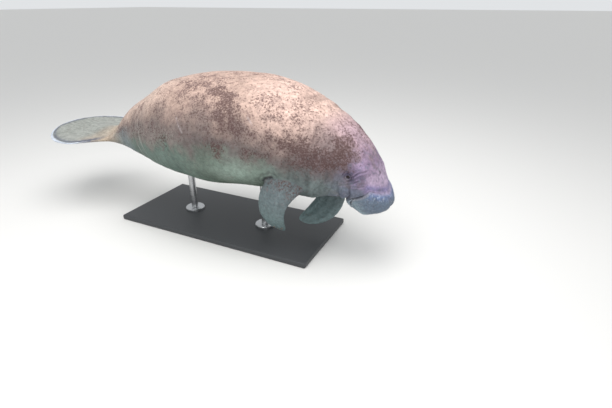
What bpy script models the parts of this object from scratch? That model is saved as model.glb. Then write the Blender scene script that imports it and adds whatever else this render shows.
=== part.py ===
"""A life-size West Indian manatee, swimming with its back arched and its muzzle down, held by a plain display stand.

The body is one long loft round a bent spine: stations down its length give its width, its height and the way the
spine droops, and a few raised and sunk forms shape the face. Thin cuts part the loft into muzzle, head, neck, chest,
belly, loin, tail stock and tail paddle. Each flipper is a second loft, cut to the body's side with a hair of air
between. X runs towards the nose, Y towards the animal's left and Z up, in metres.
"""

import math
from collections import namedtuple

import bmesh
import bpy
import numpy as np
from mathutils import Matrix, Vector

GAP = 0.0003  # air between pieces that touch
LENGTH = 2.82  # lips to tail tip, along the spine

# The spine's stations. back is the way along the spine from the lips, droop how steeply the spine falls towards
# the nose, in degrees, and the rest the body's half width, and its height above and depth below the spine.
Station = namedtuple("Station", "back droop half_width above below")
LIPS = Station(0.00, 66, 0.112, 0.066, 0.094)
NOSTRILS = Station(0.11, 60, 0.130, 0.082, 0.152)
EYES = Station(0.25, 42, 0.156, 0.130, 0.214)
JAW = Station(0.36, 28, 0.194, 0.178, 0.262)
NECK = Station(0.52, 16, 0.258, 0.240, 0.328)
SHOULDERS = Station(0.74, 9, 0.331, 0.304, 0.342)
CHEST = Station(0.99, -2, 0.377, 0.346, 0.347)
BELLY = Station(1.27, -5.5, 0.392, 0.359, 0.355)
LOIN = Station(1.54, -9, 0.354, 0.345, 0.315)
RUMP = Station(1.79, -11, 0.268, 0.271, 0.253)
STOCK = Station(1.98, -10, 0.193, 0.211, 0.171)
TAIL_ROOT = Station(2.12, -11, 0.157, 0.150, 0.124)
PADDLE_ROOT = Station(2.26, -4, 0.215, 0.062, 0.062)
PADDLE = Station(2.46, 0, 0.345, 0.036, 0.036)
PADDLE_END = Station(LENGTH, 12, 0.383, 0.016, 0.016)
STATIONS = (
    LIPS, NOSTRILS, EYES, JAW, NECK, SHOULDERS, CHEST, BELLY,
    LOIN, RUMP, STOCK, TAIL_ROOT, PADDLE_ROOT, PADDLE, PADDLE_END,
)
HEAD_TURN = 4.0  # degrees that the head looks to the animal's right
PADDLE_TWIST = 2.0  # degrees that the paddle's right edge hangs lower
ROUNDNESS = 0.94  # power on a section's sine and cosine: 1 is an ellipse, less is squarer
LIP_DEPTH = 0.075  # over which the blunt muzzle rounds off
LIP_BLUNTNESS = 2.7
PADDLE_ROUNDING = 0.38  # over which the paddle's plan rounds off
PADDLE_EDGE = 0.0095  # half the paddle's thickness away from its middle ridge
PADDLE_RIDGE = 0.085  # reach of that ridge to each side

# Where the thin cuts part the body
CUTS = {"muzzle": 0.24, "head": 0.42, "neck": 0.60, "chest": 0.98, "belly": 1.40, "loin": 1.76, "tail_stock": 2.16}
RINGS = {
    "muzzle": 24, "head": 15, "neck": 5, "chest": 7,
    "belly": 7, "loin": 6, "tail_stock": 8, "tail_paddle": 17,
}
LIP_RINGS = 9  # more of the muzzle's rings, round its blunt end
FACE_SIDES = 64
BODY_SIDES = 48

EYE_PLACE = (0.295, 86)  # way back along the spine, and degrees down from the middle of the back
EYE_RADIUS = 0.0115
LID_RADIUS = 0.0150
LID_THICKNESS = 0.0050
NOSTRIL_PLACE = (0.208, 12)
NOSTRIL_SIZE = (0.016, 0.0065, 0.012)
MOUTH_CORNER = (0.167, 117)

NAILS = 4

BASE_SIZE = (1.50, 0.66, 0.036)
BASE_CLEARANCE = 0.07  # between the lowest flipper tip and the base
ROD_RADIUS = 0.024
FLANGE_RADIUS = 0.07
FLANGE_HEIGHT = 0.014
FLANGE_EASE = 0.004
ROD_SIDES = 28
ROD_PLACES = {"stand_rod_front": 0.28, "stand_rod_rear": -0.34}

COLOURS = {
    "muzzle": (0.36, 0.31, 0.37, 1), "head": (0.34, 0.28, 0.31, 1), "neck": (0.38, 0.30, 0.27, 1),
    "chest": (0.42, 0.33, 0.28, 1), "belly": (0.45, 0.36, 0.30, 1), "loin": (0.44, 0.36, 0.30, 1),
    "tail_stock": (0.42, 0.36, 0.29, 1), "tail_paddle": (0.50, 0.46, 0.38, 1), "flipper": (0.27, 0.26, 0.27, 1),
    "eye": (0.02, 0.018, 0.02, 1), "stand": (0.055, 0.058, 0.062, 1),
}


def through(places, values):
    """A smooth curve through the values that never overshoots between two of them."""
    places, values = np.array(places, float), np.array(values, float)
    steps = np.diff(places)
    slopes = np.diff(values) / steps
    lean = np.zeros(len(values))
    same_way = slopes[:-1] * slopes[1:] > 0
    before, after = steps[:-1] + 2 * steps[1:], 2 * steps[:-1] + steps[1:]
    safe = np.where(slopes == 0, 1, slopes)
    mean = (before + after) / (before / safe[:-1] + after / safe[1:])
    lean[1:-1] = np.where(same_way, mean, 0)
    lean[0], lean[-1] = slopes[0], slopes[-1]

    def curve(where):
        where = np.clip(np.asarray(where, float), places[0], places[-1])
        index = np.clip(np.searchsorted(places, where, side="right") - 1, 0, len(steps) - 1)
        step = steps[index]
        t = (where - places[index]) / step
        rise = t * t * (3 - 2 * t)
        leaving = t * (1 - t) ** 2 * step * lean[index]
        arriving = t * t * (t - 1) * step * lean[index + 1]
        return values[index] * (1 - rise) + values[index + 1] * rise + leaving + arriving

    return curve


def of_station(field):
    """How one measure of the stations changes along the spine."""
    return through([s.back for s in STATIONS], [getattr(s, field) for s in STATIONS])


def eased(value, start, end):
    """0 before start, 1 after end, and smooth between."""
    t = np.clip((np.asarray(value, float) - start) / (end - start), 0, 1)
    return t * t * (3 - 2 * t)


def blunt(distance, reach, power):
    """How a form swells from its end: 0 at the end and 1 past reach. A higher power is blunter."""
    left = np.clip(1 - np.asarray(distance, float) / reach, 0, 1)
    return (1 - left**power) ** (1 / power)


def make_spine(step=0.005):
    """Points down the spine from the lips to the tail tip, with the ways towards the nose, to the left and up."""
    backs = np.arange(0, LENGTH + step / 2, step)
    droop = np.radians(of_station("droop")(backs))
    turn = -np.radians(HEAD_TURN) * (1 - eased(backs, 0.1, SHOULDERS.back))
    nose = np.stack([np.cos(droop) * np.cos(turn), np.cos(droop) * np.sin(turn), -np.sin(droop)], 1)
    left = np.stack([-np.sin(turn), np.cos(turn), np.zeros_like(turn)], 1)
    twist = np.radians(PADDLE_TWIST) * eased(backs, STOCK.back, PADDLE.back)[:, None]
    up = np.cross(nose, left)
    left, up = left * np.cos(twist) + up * np.sin(twist), up * np.cos(twist) - left * np.sin(twist)
    moves = (nose[1:] + nose[:-1]) / 2 * step
    points = np.concatenate([np.zeros((1, 3)), -np.cumsum(moves, 0)])
    middle = int(round(BELLY.back / step))
    return backs, points - points[middle], nose, left, up


SPINE = make_spine()
HALF_WIDTH, ABOVE, BELOW = of_station("half_width"), of_station("above"), of_station("below")


def along_spine(values, back):
    """One of the spine's rows of vectors, read at each way back."""
    return np.stack([np.interp(back, SPINE[0], values[:, k]) for k in range(3)], -1)


def power_of(value, power):
    return np.sign(value) * np.abs(value) ** power


def plain_section(back, angle):
    """The body's surface without its relief: back along the spine, angle round it from the middle of the back."""
    back, angle = np.broadcast_arrays(np.asarray(back, float), np.asarray(angle, float))
    muzzle_end = blunt(back, LIP_DEPTH, LIP_BLUNTNESS)
    tail_end = blunt(LENGTH - back, PADDLE_ROUNDING, 2.1)
    swell = muzzle_end * tail_end
    across = HALF_WIDTH(back) * swell * power_of(np.sin(angle), ROUNDNESS)
    reach = np.where(np.cos(angle) > 0, ABOVE(back), BELOW(back)) * muzzle_end
    body = reach * power_of(np.cos(angle), ROUNDNESS)
    ridge = (ABOVE(back) - PADDLE_EDGE) * np.exp(-((across / PADDLE_RIDGE) ** 2)) * np.cos(angle)
    sheet = PADDLE_EDGE * power_of(np.cos(angle), 0.6) + np.maximum(ridge, 0) * (np.cos(angle) > 0)
    sheet = sheet + np.minimum(ridge, 0) * (np.cos(angle) <= 0)
    flat = eased(back, STOCK.back + 0.02, PADDLE_ROOT.back + 0.12)
    height = body * (1 - flat) + sheet * flat * tail_end**0.5
    point = along_spine(SPINE[1], back)
    return point + along_spine(SPINE[3], back) * across[..., None] + along_spine(SPINE[4], back) * height[..., None]


def bump(back, side, middle, reach_back, reach_side):
    """A soft mound of height 1 at middle, which is a way back and degrees down from the back, on both sides."""
    return np.exp(-(((back - middle[0]) / reach_back) ** 2) - ((side - middle[1]) / reach_side) ** 2)


def way_off(back, side, line, girth=0.118):
    """Distance from a line on the skin, in metres. The line's points are ways back and degrees down."""
    here = np.stack([back, np.radians(side) * girth], -1)
    corners = np.array([(b, math.radians(s) * girth) for b, s in line])
    nearest = np.full(back.shape, 9.0)
    for start, end in zip(corners[:-1], corners[1:]):
        run = end - start
        t = np.clip(((here - start) @ run) / (run @ run), 0, 1)
        nearest = np.minimum(nearest, np.linalg.norm(here - start - t[..., None] * run, axis=-1))
    return nearest


# Where the upper lip's pads end on the muzzle, as a way back for degrees down from the back
PAD_EDGE = through(
    [0, 28, 50, 66, 81, 94, 106, 118, 180],
    [0.096, 0.116, 0.140, 0.160, 0.157, 0.156, 0.160, 0.168, 0.172],
)
# The slit between the upper lip and the lower, and the folds behind the jaw
MOUTH = (MOUTH_CORNER, (0.146, 128), (0.112, 140), (0.078, 156), (0.062, 180))
JAW_CREASE = ((0.186, 180), (0.184, 136), (0.202, 117), (0.230, 105), (0.257, 97), (0.276, 91))
NECK_FOLD = ((0.232, 180), (0.236, 152), (0.262, 132), (0.300, 116), (0.330, 104))


def relief(back, angle):
    """How far the skin stands off the plain section: lips, cheeks, nose, jaw and the folds round them."""
    side = np.degrees(np.abs((angle + math.pi) % (2 * math.pi) - math.pi))
    before_edge = PAD_EDGE(side) - back
    upper_lip = 1 - eased(side, 128, 150)
    lift = 0.011 * eased(before_edge, -0.002, 0.022) * upper_lip  # the upper lip's bristly pads
    lift -= 0.006 * np.exp(-((before_edge / 0.007) ** 2)) * eased(side, 35, 75) * upper_lip
    lift += 0.004 * bump(back, side, (0.060, 105), 0.045, 34)  # which hang at each side
    lift -= 0.010 * bump(back, side, (0.020, 102), 0.038, 32)  # and slope inward below
    lift -= 0.008 * bump(back, side, (0.020, 0), 0.040, 10)  # with a cleft between them
    lift += 0.006 * bump(back, side, (0.236, 14), 0.026, 26)  # the nose's rise behind the nostrils
    lift -= 0.004 * bump(back, side, (0.182, 10), 0.022, 26)
    lift += 0.011 * bump(back, side, (0.215, 96), 0.036, 20)  # cheek
    lift += 0.020 * bump(back, side, (0.120, 166), 0.048, 30)  # chin
    lift += 0.006 * bump(back, side, (0.310, 66), 0.035, 13)  # brow
    lift -= 0.006 * bump(back, side, (0.290, 86), 0.034, 13)  # the hollow that the eye sits in
    lift -= 0.010 * np.exp(-((way_off(back, side, MOUTH) / 0.008) ** 2))
    lift -= 0.013 * np.exp(-((way_off(back, side, JAW_CREASE) / 0.014) ** 2)) * eased(side, 88, 118)
    lift -= 0.006 * np.exp(-((way_off(back, side, NECK_FOLD) / 0.012) ** 2))
    lift *= eased(back, -0.02, 0.03) * (1 - eased(back, 0.36, 0.42))
    lip_face = 0.010 + 0.006 * eased(side, 20, 60)  # how flat the upper lip's face is
    return lift - lip_face * (1 - eased(back, 0, 0.045))


def skin_point(back, angle, lift=0.0):
    """Points on the skin with its relief, and the outward ways there."""
    back, angle = np.broadcast_arrays(np.asarray(back, float), np.asarray(angle, float))
    little = 1e-3
    forward = plain_section(back - little, angle) - plain_section(back + little, angle)
    around = plain_section(back, angle + little) - plain_section(back, angle - little)
    outward = np.cross(forward, around)
    long = np.linalg.norm(outward, axis=-1, keepdims=True)
    outward = outward / np.maximum(long, 1e-12)
    return plain_section(back, angle) + outward * (relief(back, angle) + lift)[..., None], outward


def loft(name, rings, first, last):
    """A closed mesh through rings of points. first and last are the points that its two ends fan in to."""
    count = rings.shape[1]
    points = np.concatenate([rings.reshape(-1, 3), [first, last]])
    start, end = len(points) - 2, len(points) - 1
    faces = []
    for r in range(len(rings) - 1):
        for k in range(count):
            a, b = r * count + k, r * count + (k + 1) % count
            faces += [(a, b, a + count), (b, b + count, a + count)]
    final = (len(rings) - 1) * count
    for k in range(count):
        faces += [(start, (k + 1) % count, k), (end, final + k, final + (k + 1) % count)]
    mesh = bpy.data.meshes.new(name)
    mesh.from_pydata(points.tolist(), [], faces)
    work = bmesh.new()
    work.from_mesh(mesh)
    bmesh.ops.recalc_face_normals(work, faces=work.faces)
    work.to_mesh(mesh)
    work.free()
    mesh.shade_smooth()
    obj = bpy.data.objects.new(name, mesh)
    bpy.context.scene.collection.objects.link(obj)
    return obj


def ring_backs(name, start, end):
    """Where a piece's rings lie: close together where the form turns fast."""
    share = np.linspace(0, 1, RINGS[name])
    if name == "muzzle":
        turn = np.linspace(0, 0.93, LIP_RINGS + 1)[1:] * math.pi / 2
        cap = LIP_DEPTH * (1 - (1 - np.sin(turn) ** LIP_BLUNTNESS) ** (1 / LIP_BLUNTNESS))
        return np.concatenate([cap, cap[-1] + (end - cap[-1]) * share[1:]])
    if name == "tail_paddle":
        turn = np.linspace(0, 0.93, 5)[1:] * math.pi / 2
        tip = (1 - np.cos(turn)) * 0.045
        share = 1 - (1 - share[:-1]) ** 1.5
        return np.concatenate([start + (end - tip[-1] - start) * share, end - tip[::-1]])
    return start + (end - start) * share


def body_piece(name, start, end, sides):
    """One length of the body between two cuts, closed by a flat face at each."""
    backs = ring_backs(name, start, end)
    angles = np.arange(sides) * 2 * math.pi / sides
    rings, _ = skin_point(backs[:, None], angles[None, :])
    centres = along_spine(SPINE[1], backs)
    first, last = centres[0], centres[-1]
    if name == "muzzle":
        first = rings[0].mean(0)
    if name == "tail_paddle":
        last = along_spine(SPINE[1], LENGTH)
    return loft(name, rings, first, last)


def finish(obj, colour, roughness=0.6, metallic=0.0):
    """The object's own material, with its colour, roughness and metallic value."""
    material = bpy.data.materials.new(obj.name)
    material.use_nodes = True
    shader = material.node_tree.nodes["Principled BSDF"]
    shader.inputs["Base Color"].default_value = COLOURS[colour]
    shader.inputs["Roughness"].default_value = roughness
    shader.inputs["Metallic"].default_value = metallic
    obj.data.materials.clear()
    obj.data.materials.append(material)
    return obj


def make_body():
    """The body's pieces from the lips to the paddle, a hair apart at each cut."""
    pieces, start = {}, 0.0
    for name in RINGS:
        end = CUTS.get(name, LENGTH)
        sides = FACE_SIDES if name in ("muzzle", "head") else BODY_SIDES
        pieces[name] = finish(body_piece(name, start, end - GAP / 2 * (name in CUTS), sides), name)
        start = end + GAP / 2
    return pieces


def helper(obj):
    """A cutter or a part to be joined, which is no piece of its own."""
    obj.hide_render = True
    obj.display_type = "WIRE"
    return obj


def boolean(obj, other, operation):
    """Applies one Boolean and removes the helper that it used."""
    modifier = obj.modifiers.new(operation.lower(), "BOOLEAN")
    modifier.operation = operation
    modifier.object = other
    modifier.solver = "EXACT"
    graph = bpy.context.evaluated_depsgraph_get()
    made = bpy.data.meshes.new_from_object(obj.evaluated_get(graph))
    obj.modifiers.clear()
    obj.data = made
    bpy.data.objects.remove(other)
    keep_largest(obj)
    return obj


def keep_largest(obj):
    """Leaves only the object's largest closed surface."""
    work = bmesh.new()
    work.from_mesh(obj.data)
    left, groups = set(work.verts), []
    while left:
        seed = left.pop()
        group, edge = {seed}, [seed]
        while edge:
            for link in edge.pop().link_edges:
                for vert in link.verts:
                    if vert in left:
                        left.discard(vert)
                        group.add(vert)
                        edge.append(vert)
        groups.append(group)
    groups.sort(key=len)
    for group in groups[:-1]:
        bmesh.ops.delete(work, geom=list(group), context="VERTS")
    work.to_mesh(obj.data)
    work.free()


def axes_at(place, hand, lift=0.0):
    """A frame on the skin: X towards the nose, Z outward, at a way back and degrees down, on the left or right."""
    angle = math.radians(place[1]) * hand
    point, outward = skin_point(place[0], angle, lift)
    ahead, _ = skin_point(place[0] - 0.004, angle, lift)
    z = Vector(outward)
    x = Vector(ahead - point)
    x = (x - z * x.dot(z)).normalized()
    y = z.cross(x)
    return Matrix((x, y, z)).transposed().to_4x4(), Vector(point)


def ball(name, place, size, rings=10, sides=16):
    """An ellipsoid with its own axes, at a frame on the skin."""
    turn, point = place
    mesh = bpy.data.meshes.new(name)
    work = bmesh.new()
    bmesh.ops.create_uvsphere(work, u_segments=sides, v_segments=rings, radius=1)
    bmesh.ops.scale(work, vec=size, verts=work.verts)
    bmesh.ops.transform(work, matrix=Matrix.Translation(point) @ turn, verts=work.verts)
    work.to_mesh(mesh)
    work.free()
    mesh.shade_smooth()
    obj = bpy.data.objects.new(name, mesh)
    bpy.context.scene.collection.objects.link(obj)
    return obj


def lid_ring(name, place):
    """The thick round rim of skin that a manatee's eye closes with."""
    turn, point = place
    around, across = 22, 8
    rim = []
    for k in range(around):
        a = 2 * math.pi * k / around
        out = Vector((math.cos(a) * 1.12, math.sin(a) * 0.92, 0))
        for m in range(across):
            b = 2 * math.pi * m / across
            rim.append(out * (LID_RADIUS + LID_THICKNESS * math.cos(b)) + Vector((0, 0, LID_THICKNESS * math.sin(b))))
    faces = []
    for k in range(around):
        for m in range(across):
            after, over = (k + 1) % around, (m + 1) % across
            faces.append((k * across + m, after * across + m, after * across + over, k * across + over))
    mesh = bpy.data.meshes.new(name)
    mesh.from_pydata([tuple(turn @ v + point) for v in rim], [], faces)
    work = bmesh.new()
    work.from_mesh(mesh)
    bmesh.ops.recalc_face_normals(work, faces=work.faces)
    work.to_mesh(mesh)
    work.free()
    obj = bpy.data.objects.new(name, mesh)
    bpy.context.scene.collection.objects.link(obj)
    return obj


def make_eyes(pieces):
    """Lids joined to the head, a socket cut in it, and an eye that sits in each with a hair of air round it."""
    for hand, name in ((1, "eye_left"), (-1, "eye_right")):
        boolean(pieces["head"], helper(lid_ring("lid", axes_at(EYE_PLACE, hand, 0.001))), "UNION")
        seat = axes_at(EYE_PLACE, hand, -EYE_RADIUS * 0.62)
        socket = ball("socket", seat, (EYE_RADIUS + GAP * 2,) * 3, 12, 20)
        boolean(pieces["head"], helper(socket), "DIFFERENCE")
        pieces[name] = finish(ball(name, seat, (EYE_RADIUS,) * 3, 10, 18), "eye", 0.08)


def make_nostrils(pieces):
    """A slot sunk in the top of the muzzle at each side."""
    for hand in (1, -1):
        turn, point = axes_at(NOSTRIL_PLACE, hand, -0.001)
        slanted = turn @ Matrix.Rotation(math.radians(-28 * hand), 4, "Z")
        boolean(pieces["muzzle"], helper(ball("slot", (slanted, point), NOSTRIL_SIZE, 10, 16)), "DIFFERENCE")


# A flipper in its pose. shoulder is its place on the skin. elbow, wrist and tip are the handles that its middle line
# bends by, measured from there: forward, outward from the body and up. The two edges are the ways that its leading
# edge faces at the shoulder and at the tip, and spread is how much wider it fans out there.
Limb = namedtuple("Limb", "shoulder elbow wrist tip edge_root edge_tip spread")
RIGHT_LIMB = Limb(
    shoulder=(0.617, 126), elbow=(-0.065, 0.12, 0.014), wrist=(-0.148, 0.097, -0.208), tip=(-0.06, -0.058, -0.341),
    edge_root=(1, -0.15, -0.91), edge_tip=(1, 0.23, 0.475), spread=1.0,
)
LEFT_LIMB = Limb(
    shoulder=(0.585, 134), elbow=(0.215, -0.01, -0.094), wrist=(0.075, -0.034, -0.294), tip=(-0.072, -0.205, -0.32),
    edge_root=(1, -0.42, 0.18), edge_tip=(0.57, -0.34, -0.68), spread=1.14,
)
LIMB_SINK = 0.12  # how deep the root starts inside the body before it is cut to the skin
FLIPPER_RINGS = 18
FLIPPER_SIDES = 24
# Along the limb from its sunk root to its tip: half the chord and half the thickness
LIMB_WIDTH = through([0, 0.25, 0.45, 0.7, 0.9, 1], [0.130, 0.110, 0.100, 0.090, 0.072, 0.060])
LIMB_DEPTH = through([0, 0.25, 0.45, 0.7, 0.9, 1], [0.062, 0.046, 0.033, 0.020, 0.012, 0.010])


def limb_frames(limb, hand, count=60):
    """The flipper's middle line from inside the shoulder to the tip, with its chord and its outer face's way."""
    shoulder, outward = skin_point(limb.shoulder[0], math.radians(limb.shoulder[1]) * hand)
    posed = [shoulder + np.array((p[0], p[1] * hand, p[2])) for p in (limb.elbow, limb.wrist, limb.tip)]
    handles = [shoulder - outward * LIMB_SINK, shoulder, *posed]
    share = np.linspace(0, 1, count)[:, None]
    last = len(handles) - 1
    line = sum(math.comb(last, n) * share**n * (1 - share) ** (last - n) * h for n, h in enumerate(handles))
    run = np.gradient(line, axis=0)
    run /= np.linalg.norm(run, axis=1, keepdims=True)
    root, tip = (np.array((e[0], e[1] * hand, e[2]), float) for e in (limb.edge_root, limb.edge_tip))
    chord = root * (1 - share) + tip * share
    chord -= (chord * run).sum(1, keepdims=True) * run
    chord /= np.linalg.norm(chord, axis=1, keepdims=True)
    face = np.cross(chord, run) * hand
    return line, chord * (1 + (limb.spread - 1) * share), face


def limb_point(frames, share, angle):
    """The flipper's surface: share of the way from the sunk root to the tip, angle round its section."""
    line, chord, face = frames
    spots = np.linspace(0, 1, len(line))
    share, angle = np.broadcast_arrays(np.asarray(share, float), np.asarray(angle, float))
    at = [np.stack([np.interp(share, spots, rows[:, k]) for k in range(3)], -1) for rows in (line, chord, face)]
    end = blunt(1 - share, 0.26, 2.0)
    wide = LIMB_WIDTH(share) * end * power_of(np.cos(angle), 0.92) - 0.014 * (1 - end)
    deep = LIMB_DEPTH(share) * np.maximum(end, 0.02) ** 0.7 * power_of(np.sin(angle), 1.0 - 0.25 * (share > 0.5))
    deep = deep * (1 + 0.35 * np.cos(angle) * eased(share, 0.3, 0.8))
    return at[0] + at[1] * wide[..., None] + at[2] * deep[..., None]


def make_nail(frames, hand, number):
    """One flat nail near the flipper's tip, half sunk in its outer face."""
    share = 0.955 - 0.022 * abs(number - 1.2)
    angle = math.radians(90 + (number - (NAILS - 1) / 2) * 21)
    point = Vector(limb_point(frames, share, angle))
    near = Vector(limb_point(frames, share - 0.03, angle))
    beside = Vector(limb_point(frames, share, angle + 0.1))
    x = (point - near).normalized()
    z = x.cross(beside - point).normalized()
    y = z.cross(x)
    turn = Matrix((x, y, z)).transposed().to_4x4()
    return helper(ball("nail", (turn, point), (0.013, 0.0085, 0.0042), 6, 10))


def make_flipper(name, limb, hand):
    """A flipper lofted from inside the shoulder to its tip, with its nails, cut to the body's side."""
    frames = limb_frames(limb, hand)
    share = 1 - (1 - np.linspace(0, 1, FLIPPER_RINGS)) ** 1.25
    share[-1] = 0.999
    angles = np.arange(FLIPPER_SIDES) * 2 * math.pi / FLIPPER_SIDES
    rings = limb_point(frames, share[:, None], angles[None, :])
    flipper = loft(name, rings, rings[0].mean(0), rings[-1].mean(0))
    for number in range(NAILS):
        boolean(flipper, make_nail(frames, hand, number), "UNION")
    boolean(flipper, body_cutter(), "DIFFERENCE")
    return finish(flipper, "flipper")


def body_cutter():
    """The body from head to loin, a hair larger than it is, to cut what grows from it or holds it."""
    backs = np.concatenate([ring_backs(n, s, e) for n, s, e in (
        ("head", CUTS["muzzle"], CUTS["head"]), ("neck", CUTS["head"], CUTS["neck"]),
        ("chest", CUTS["neck"], CUTS["chest"]), ("belly", CUTS["chest"], CUTS["belly"]),
        ("loin", CUTS["belly"], CUTS["loin"]))])
    backs = np.unique(backs.round(6))
    sides = math.lcm(FACE_SIDES, BODY_SIDES)  # so that its edges lie over those of every piece
    angles = np.arange(sides) * 2 * math.pi / sides
    rings, _ = skin_point(backs[:, None], angles[None, :], GAP * 1.6)
    centres = along_spine(SPINE[1], backs)
    return helper(loft("body_cutter", rings, centres[0], centres[-1]))


def lowest(objects):
    return min(v.co.z for obj in objects for v in obj.data.vertices)


def make_base(top):
    """The stand's flat base, with its upper edges eased."""
    bpy.ops.mesh.primitive_cube_add(size=1)
    base = bpy.context.object
    base.name = "stand_base"
    base.data.transform(Matrix.Diagonal((*BASE_SIZE, 1)))
    base.location = (0, 0, top - BASE_SIZE[2] / 2)
    eased_edges = base.modifiers.new("eased edges", "BEVEL")
    eased_edges.width = 0.008
    eased_edges.segments = 2
    return finish(base, "stand", 0.45, 0.2)


def make_rod(name, x, top):
    """An upright rod on a round flange, cut to the belly that it carries."""
    shape = (
        (FLANGE_RADIUS, 0), (FLANGE_RADIUS, FLANGE_HEIGHT - FLANGE_EASE), (FLANGE_RADIUS - FLANGE_EASE, FLANGE_HEIGHT),
        (ROD_RADIUS + FLANGE_EASE, FLANGE_HEIGHT), (ROD_RADIUS, FLANGE_HEIGHT + FLANGE_EASE),
    )
    inside_belly = -0.1
    radii = [r for r, _ in shape] + [ROD_RADIUS]
    heights = [top + GAP + z for _, z in shape] + [inside_belly]
    angles = np.arange(ROD_SIDES) * 2 * math.pi / ROD_SIDES
    rings = np.array([[(x + r * math.cos(a), r * math.sin(a), z) for a in angles] for r, z in zip(radii, heights)])
    rod = loft(name, rings, rings[0].mean(0), rings[-1].mean(0))
    rod.data.set_sharp_from_angle(angle=math.radians(35))
    boolean(rod, body_cutter(), "DIFFERENCE")
    return finish(rod, "stand", 0.3, 0.6)


def stand_on_origin(pieces):
    """Moves the whole model under one empty, so that its box stands centred on the floor at the origin."""
    graph = bpy.context.evaluated_depsgraph_get()
    corners = [o.matrix_world @ Vector(c) for o in pieces for c in o.evaluated_get(graph).bound_box]
    low = [min(c[k] for c in corners) for k in range(3)]
    high = [max(c[k] for c in corners) for k in range(3)]
    frame = bpy.data.objects.new("manatee_on_stand", None)
    bpy.context.scene.collection.objects.link(frame)
    for piece in pieces:
        piece.parent = frame
    frame.location = (-(low[0] + high[0]) / 2, -(low[1] + high[1]) / 2, -low[2])
    bpy.context.view_layer.update()


def main():
    for obj in list(bpy.data.objects):
        bpy.data.objects.remove(obj)
    pieces = make_body()
    make_eyes(pieces)
    make_nostrils(pieces)
    pieces["flipper_left"] = make_flipper("flipper_left", LEFT_LIMB, 1)
    pieces["flipper_right"] = make_flipper("flipper_right", RIGHT_LIMB, -1)
    top = lowest(pieces.values()) - BASE_CLEARANCE
    pieces["stand_base"] = make_base(top)
    for name, x in ROD_PLACES.items():
        pieces[name] = make_rod(name, x, top)
    bpy.context.view_layer.update()
    stand_on_origin(pieces.values())


if __name__ == "__main__":
    main()
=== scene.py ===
import math

import bmesh
import bpy
import numpy as np
from mathutils import Matrix, Vector


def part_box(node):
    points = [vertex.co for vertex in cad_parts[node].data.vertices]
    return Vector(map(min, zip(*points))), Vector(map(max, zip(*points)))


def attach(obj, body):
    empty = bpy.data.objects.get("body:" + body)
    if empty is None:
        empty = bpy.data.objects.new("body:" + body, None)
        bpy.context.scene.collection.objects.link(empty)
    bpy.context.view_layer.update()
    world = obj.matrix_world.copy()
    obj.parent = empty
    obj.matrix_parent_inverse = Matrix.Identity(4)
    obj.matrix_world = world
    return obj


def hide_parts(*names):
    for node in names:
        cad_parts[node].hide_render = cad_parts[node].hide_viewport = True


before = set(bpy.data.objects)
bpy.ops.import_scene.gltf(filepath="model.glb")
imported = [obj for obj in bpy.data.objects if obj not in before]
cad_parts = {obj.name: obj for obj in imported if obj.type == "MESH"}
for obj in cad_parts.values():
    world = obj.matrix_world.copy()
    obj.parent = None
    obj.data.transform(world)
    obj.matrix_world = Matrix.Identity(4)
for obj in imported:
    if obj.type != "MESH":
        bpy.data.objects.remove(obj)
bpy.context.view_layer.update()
print("frame loaded")

# The animal's form, the same as its solids. It is lofted round a bent spine.
manatee = {
    "length": 2.82,  # lips to tail tip, along the spine
    # way back, fall of the spine towards the nose in degrees, half width, above and below the spine
    "stations": (
        (0.00, 66, 0.112, 0.066, 0.094),
        (0.11, 60, 0.130, 0.082, 0.152),
        (0.25, 42, 0.156, 0.130, 0.214),
        (0.36, 28, 0.194, 0.178, 0.262),
        (0.52, 16, 0.258, 0.240, 0.328),
        (0.74, 9, 0.331, 0.304, 0.342),
        (0.99, -2, 0.377, 0.346, 0.347),
        (1.27, -5.5, 0.392, 0.359, 0.355),
        (1.54, -9, 0.354, 0.345, 0.315),
        (1.79, -11, 0.268, 0.271, 0.253),
        (1.98, -10, 0.193, 0.211, 0.171),
        (2.12, -11, 0.157, 0.150, 0.124),
        (2.26, -4, 0.215, 0.062, 0.062),
        (2.46, 0, 0.345, 0.036, 0.036),
        (2.82, 12, 0.383, 0.016, 0.016),
    ),
    "middle": 1.27,  # the way back where the spine is level with the frame of the solids
    "shoulders": 0.74,
    "tailStock": 1.98,
    "paddleRoot": 2.26,
    "paddle": 2.46,
    "headTurn": 4.0,
    "paddleTwist": 2.0,
    "roundness": 0.94,
    "lipDepth": 0.075,
    "lipBluntness": 2.7,
    "paddleRounding": 0.38,
    "paddleEdge": 0.0095,
    "paddleRidge": 0.085,
    "headStep": 0.0024,  # how fine the skin's mesh is
    "bodyStep": 0.0075,
    "sides": 288,
}


def through(places, values):
    # a smooth curve through the values, which never overshoots
    places = np.array(places, float)
    values = np.array(values, float)
    steps = np.diff(places)
    slopes = np.diff(values) / steps
    lean = np.zeros(len(values))
    sameWay = slopes[:-1] * slopes[1:] > 0
    before = steps[:-1] + 2 * steps[1:]
    after = 2 * steps[:-1] + steps[1:]
    safe = np.where(slopes == 0, 1, slopes)
    mean = (before + after) / (before / safe[:-1] + after / safe[1:])
    lean[1:-1] = np.where(sameWay, mean, 0)
    lean[0] = slopes[0]
    lean[-1] = slopes[-1]

    def curve(where):
        where = np.clip(np.asarray(where, float), places[0], places[-1])
        index = np.clip(np.searchsorted(places, where, side="right") - 1, 0, len(steps) - 1)
        step = steps[index]
        t = (where - places[index]) / step
        rise = t * t * (3 - 2 * t)
        leaving = t * (1 - t) ** 2 * step * lean[index]
        arriving = t * t * (t - 1) * step * lean[index + 1]
        return values[index] * (1 - rise) + values[index + 1] * rise + leaving + arriving

    return curve


def eased(value, start, end):
    # 0 before start, 1 after end
    t = np.clip((np.asarray(value, float) - start) / (end - start), 0, 1)
    return t * t * (3 - 2 * t)


def fading(value, start, end):
    return 1 - eased(value, start, end)


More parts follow.
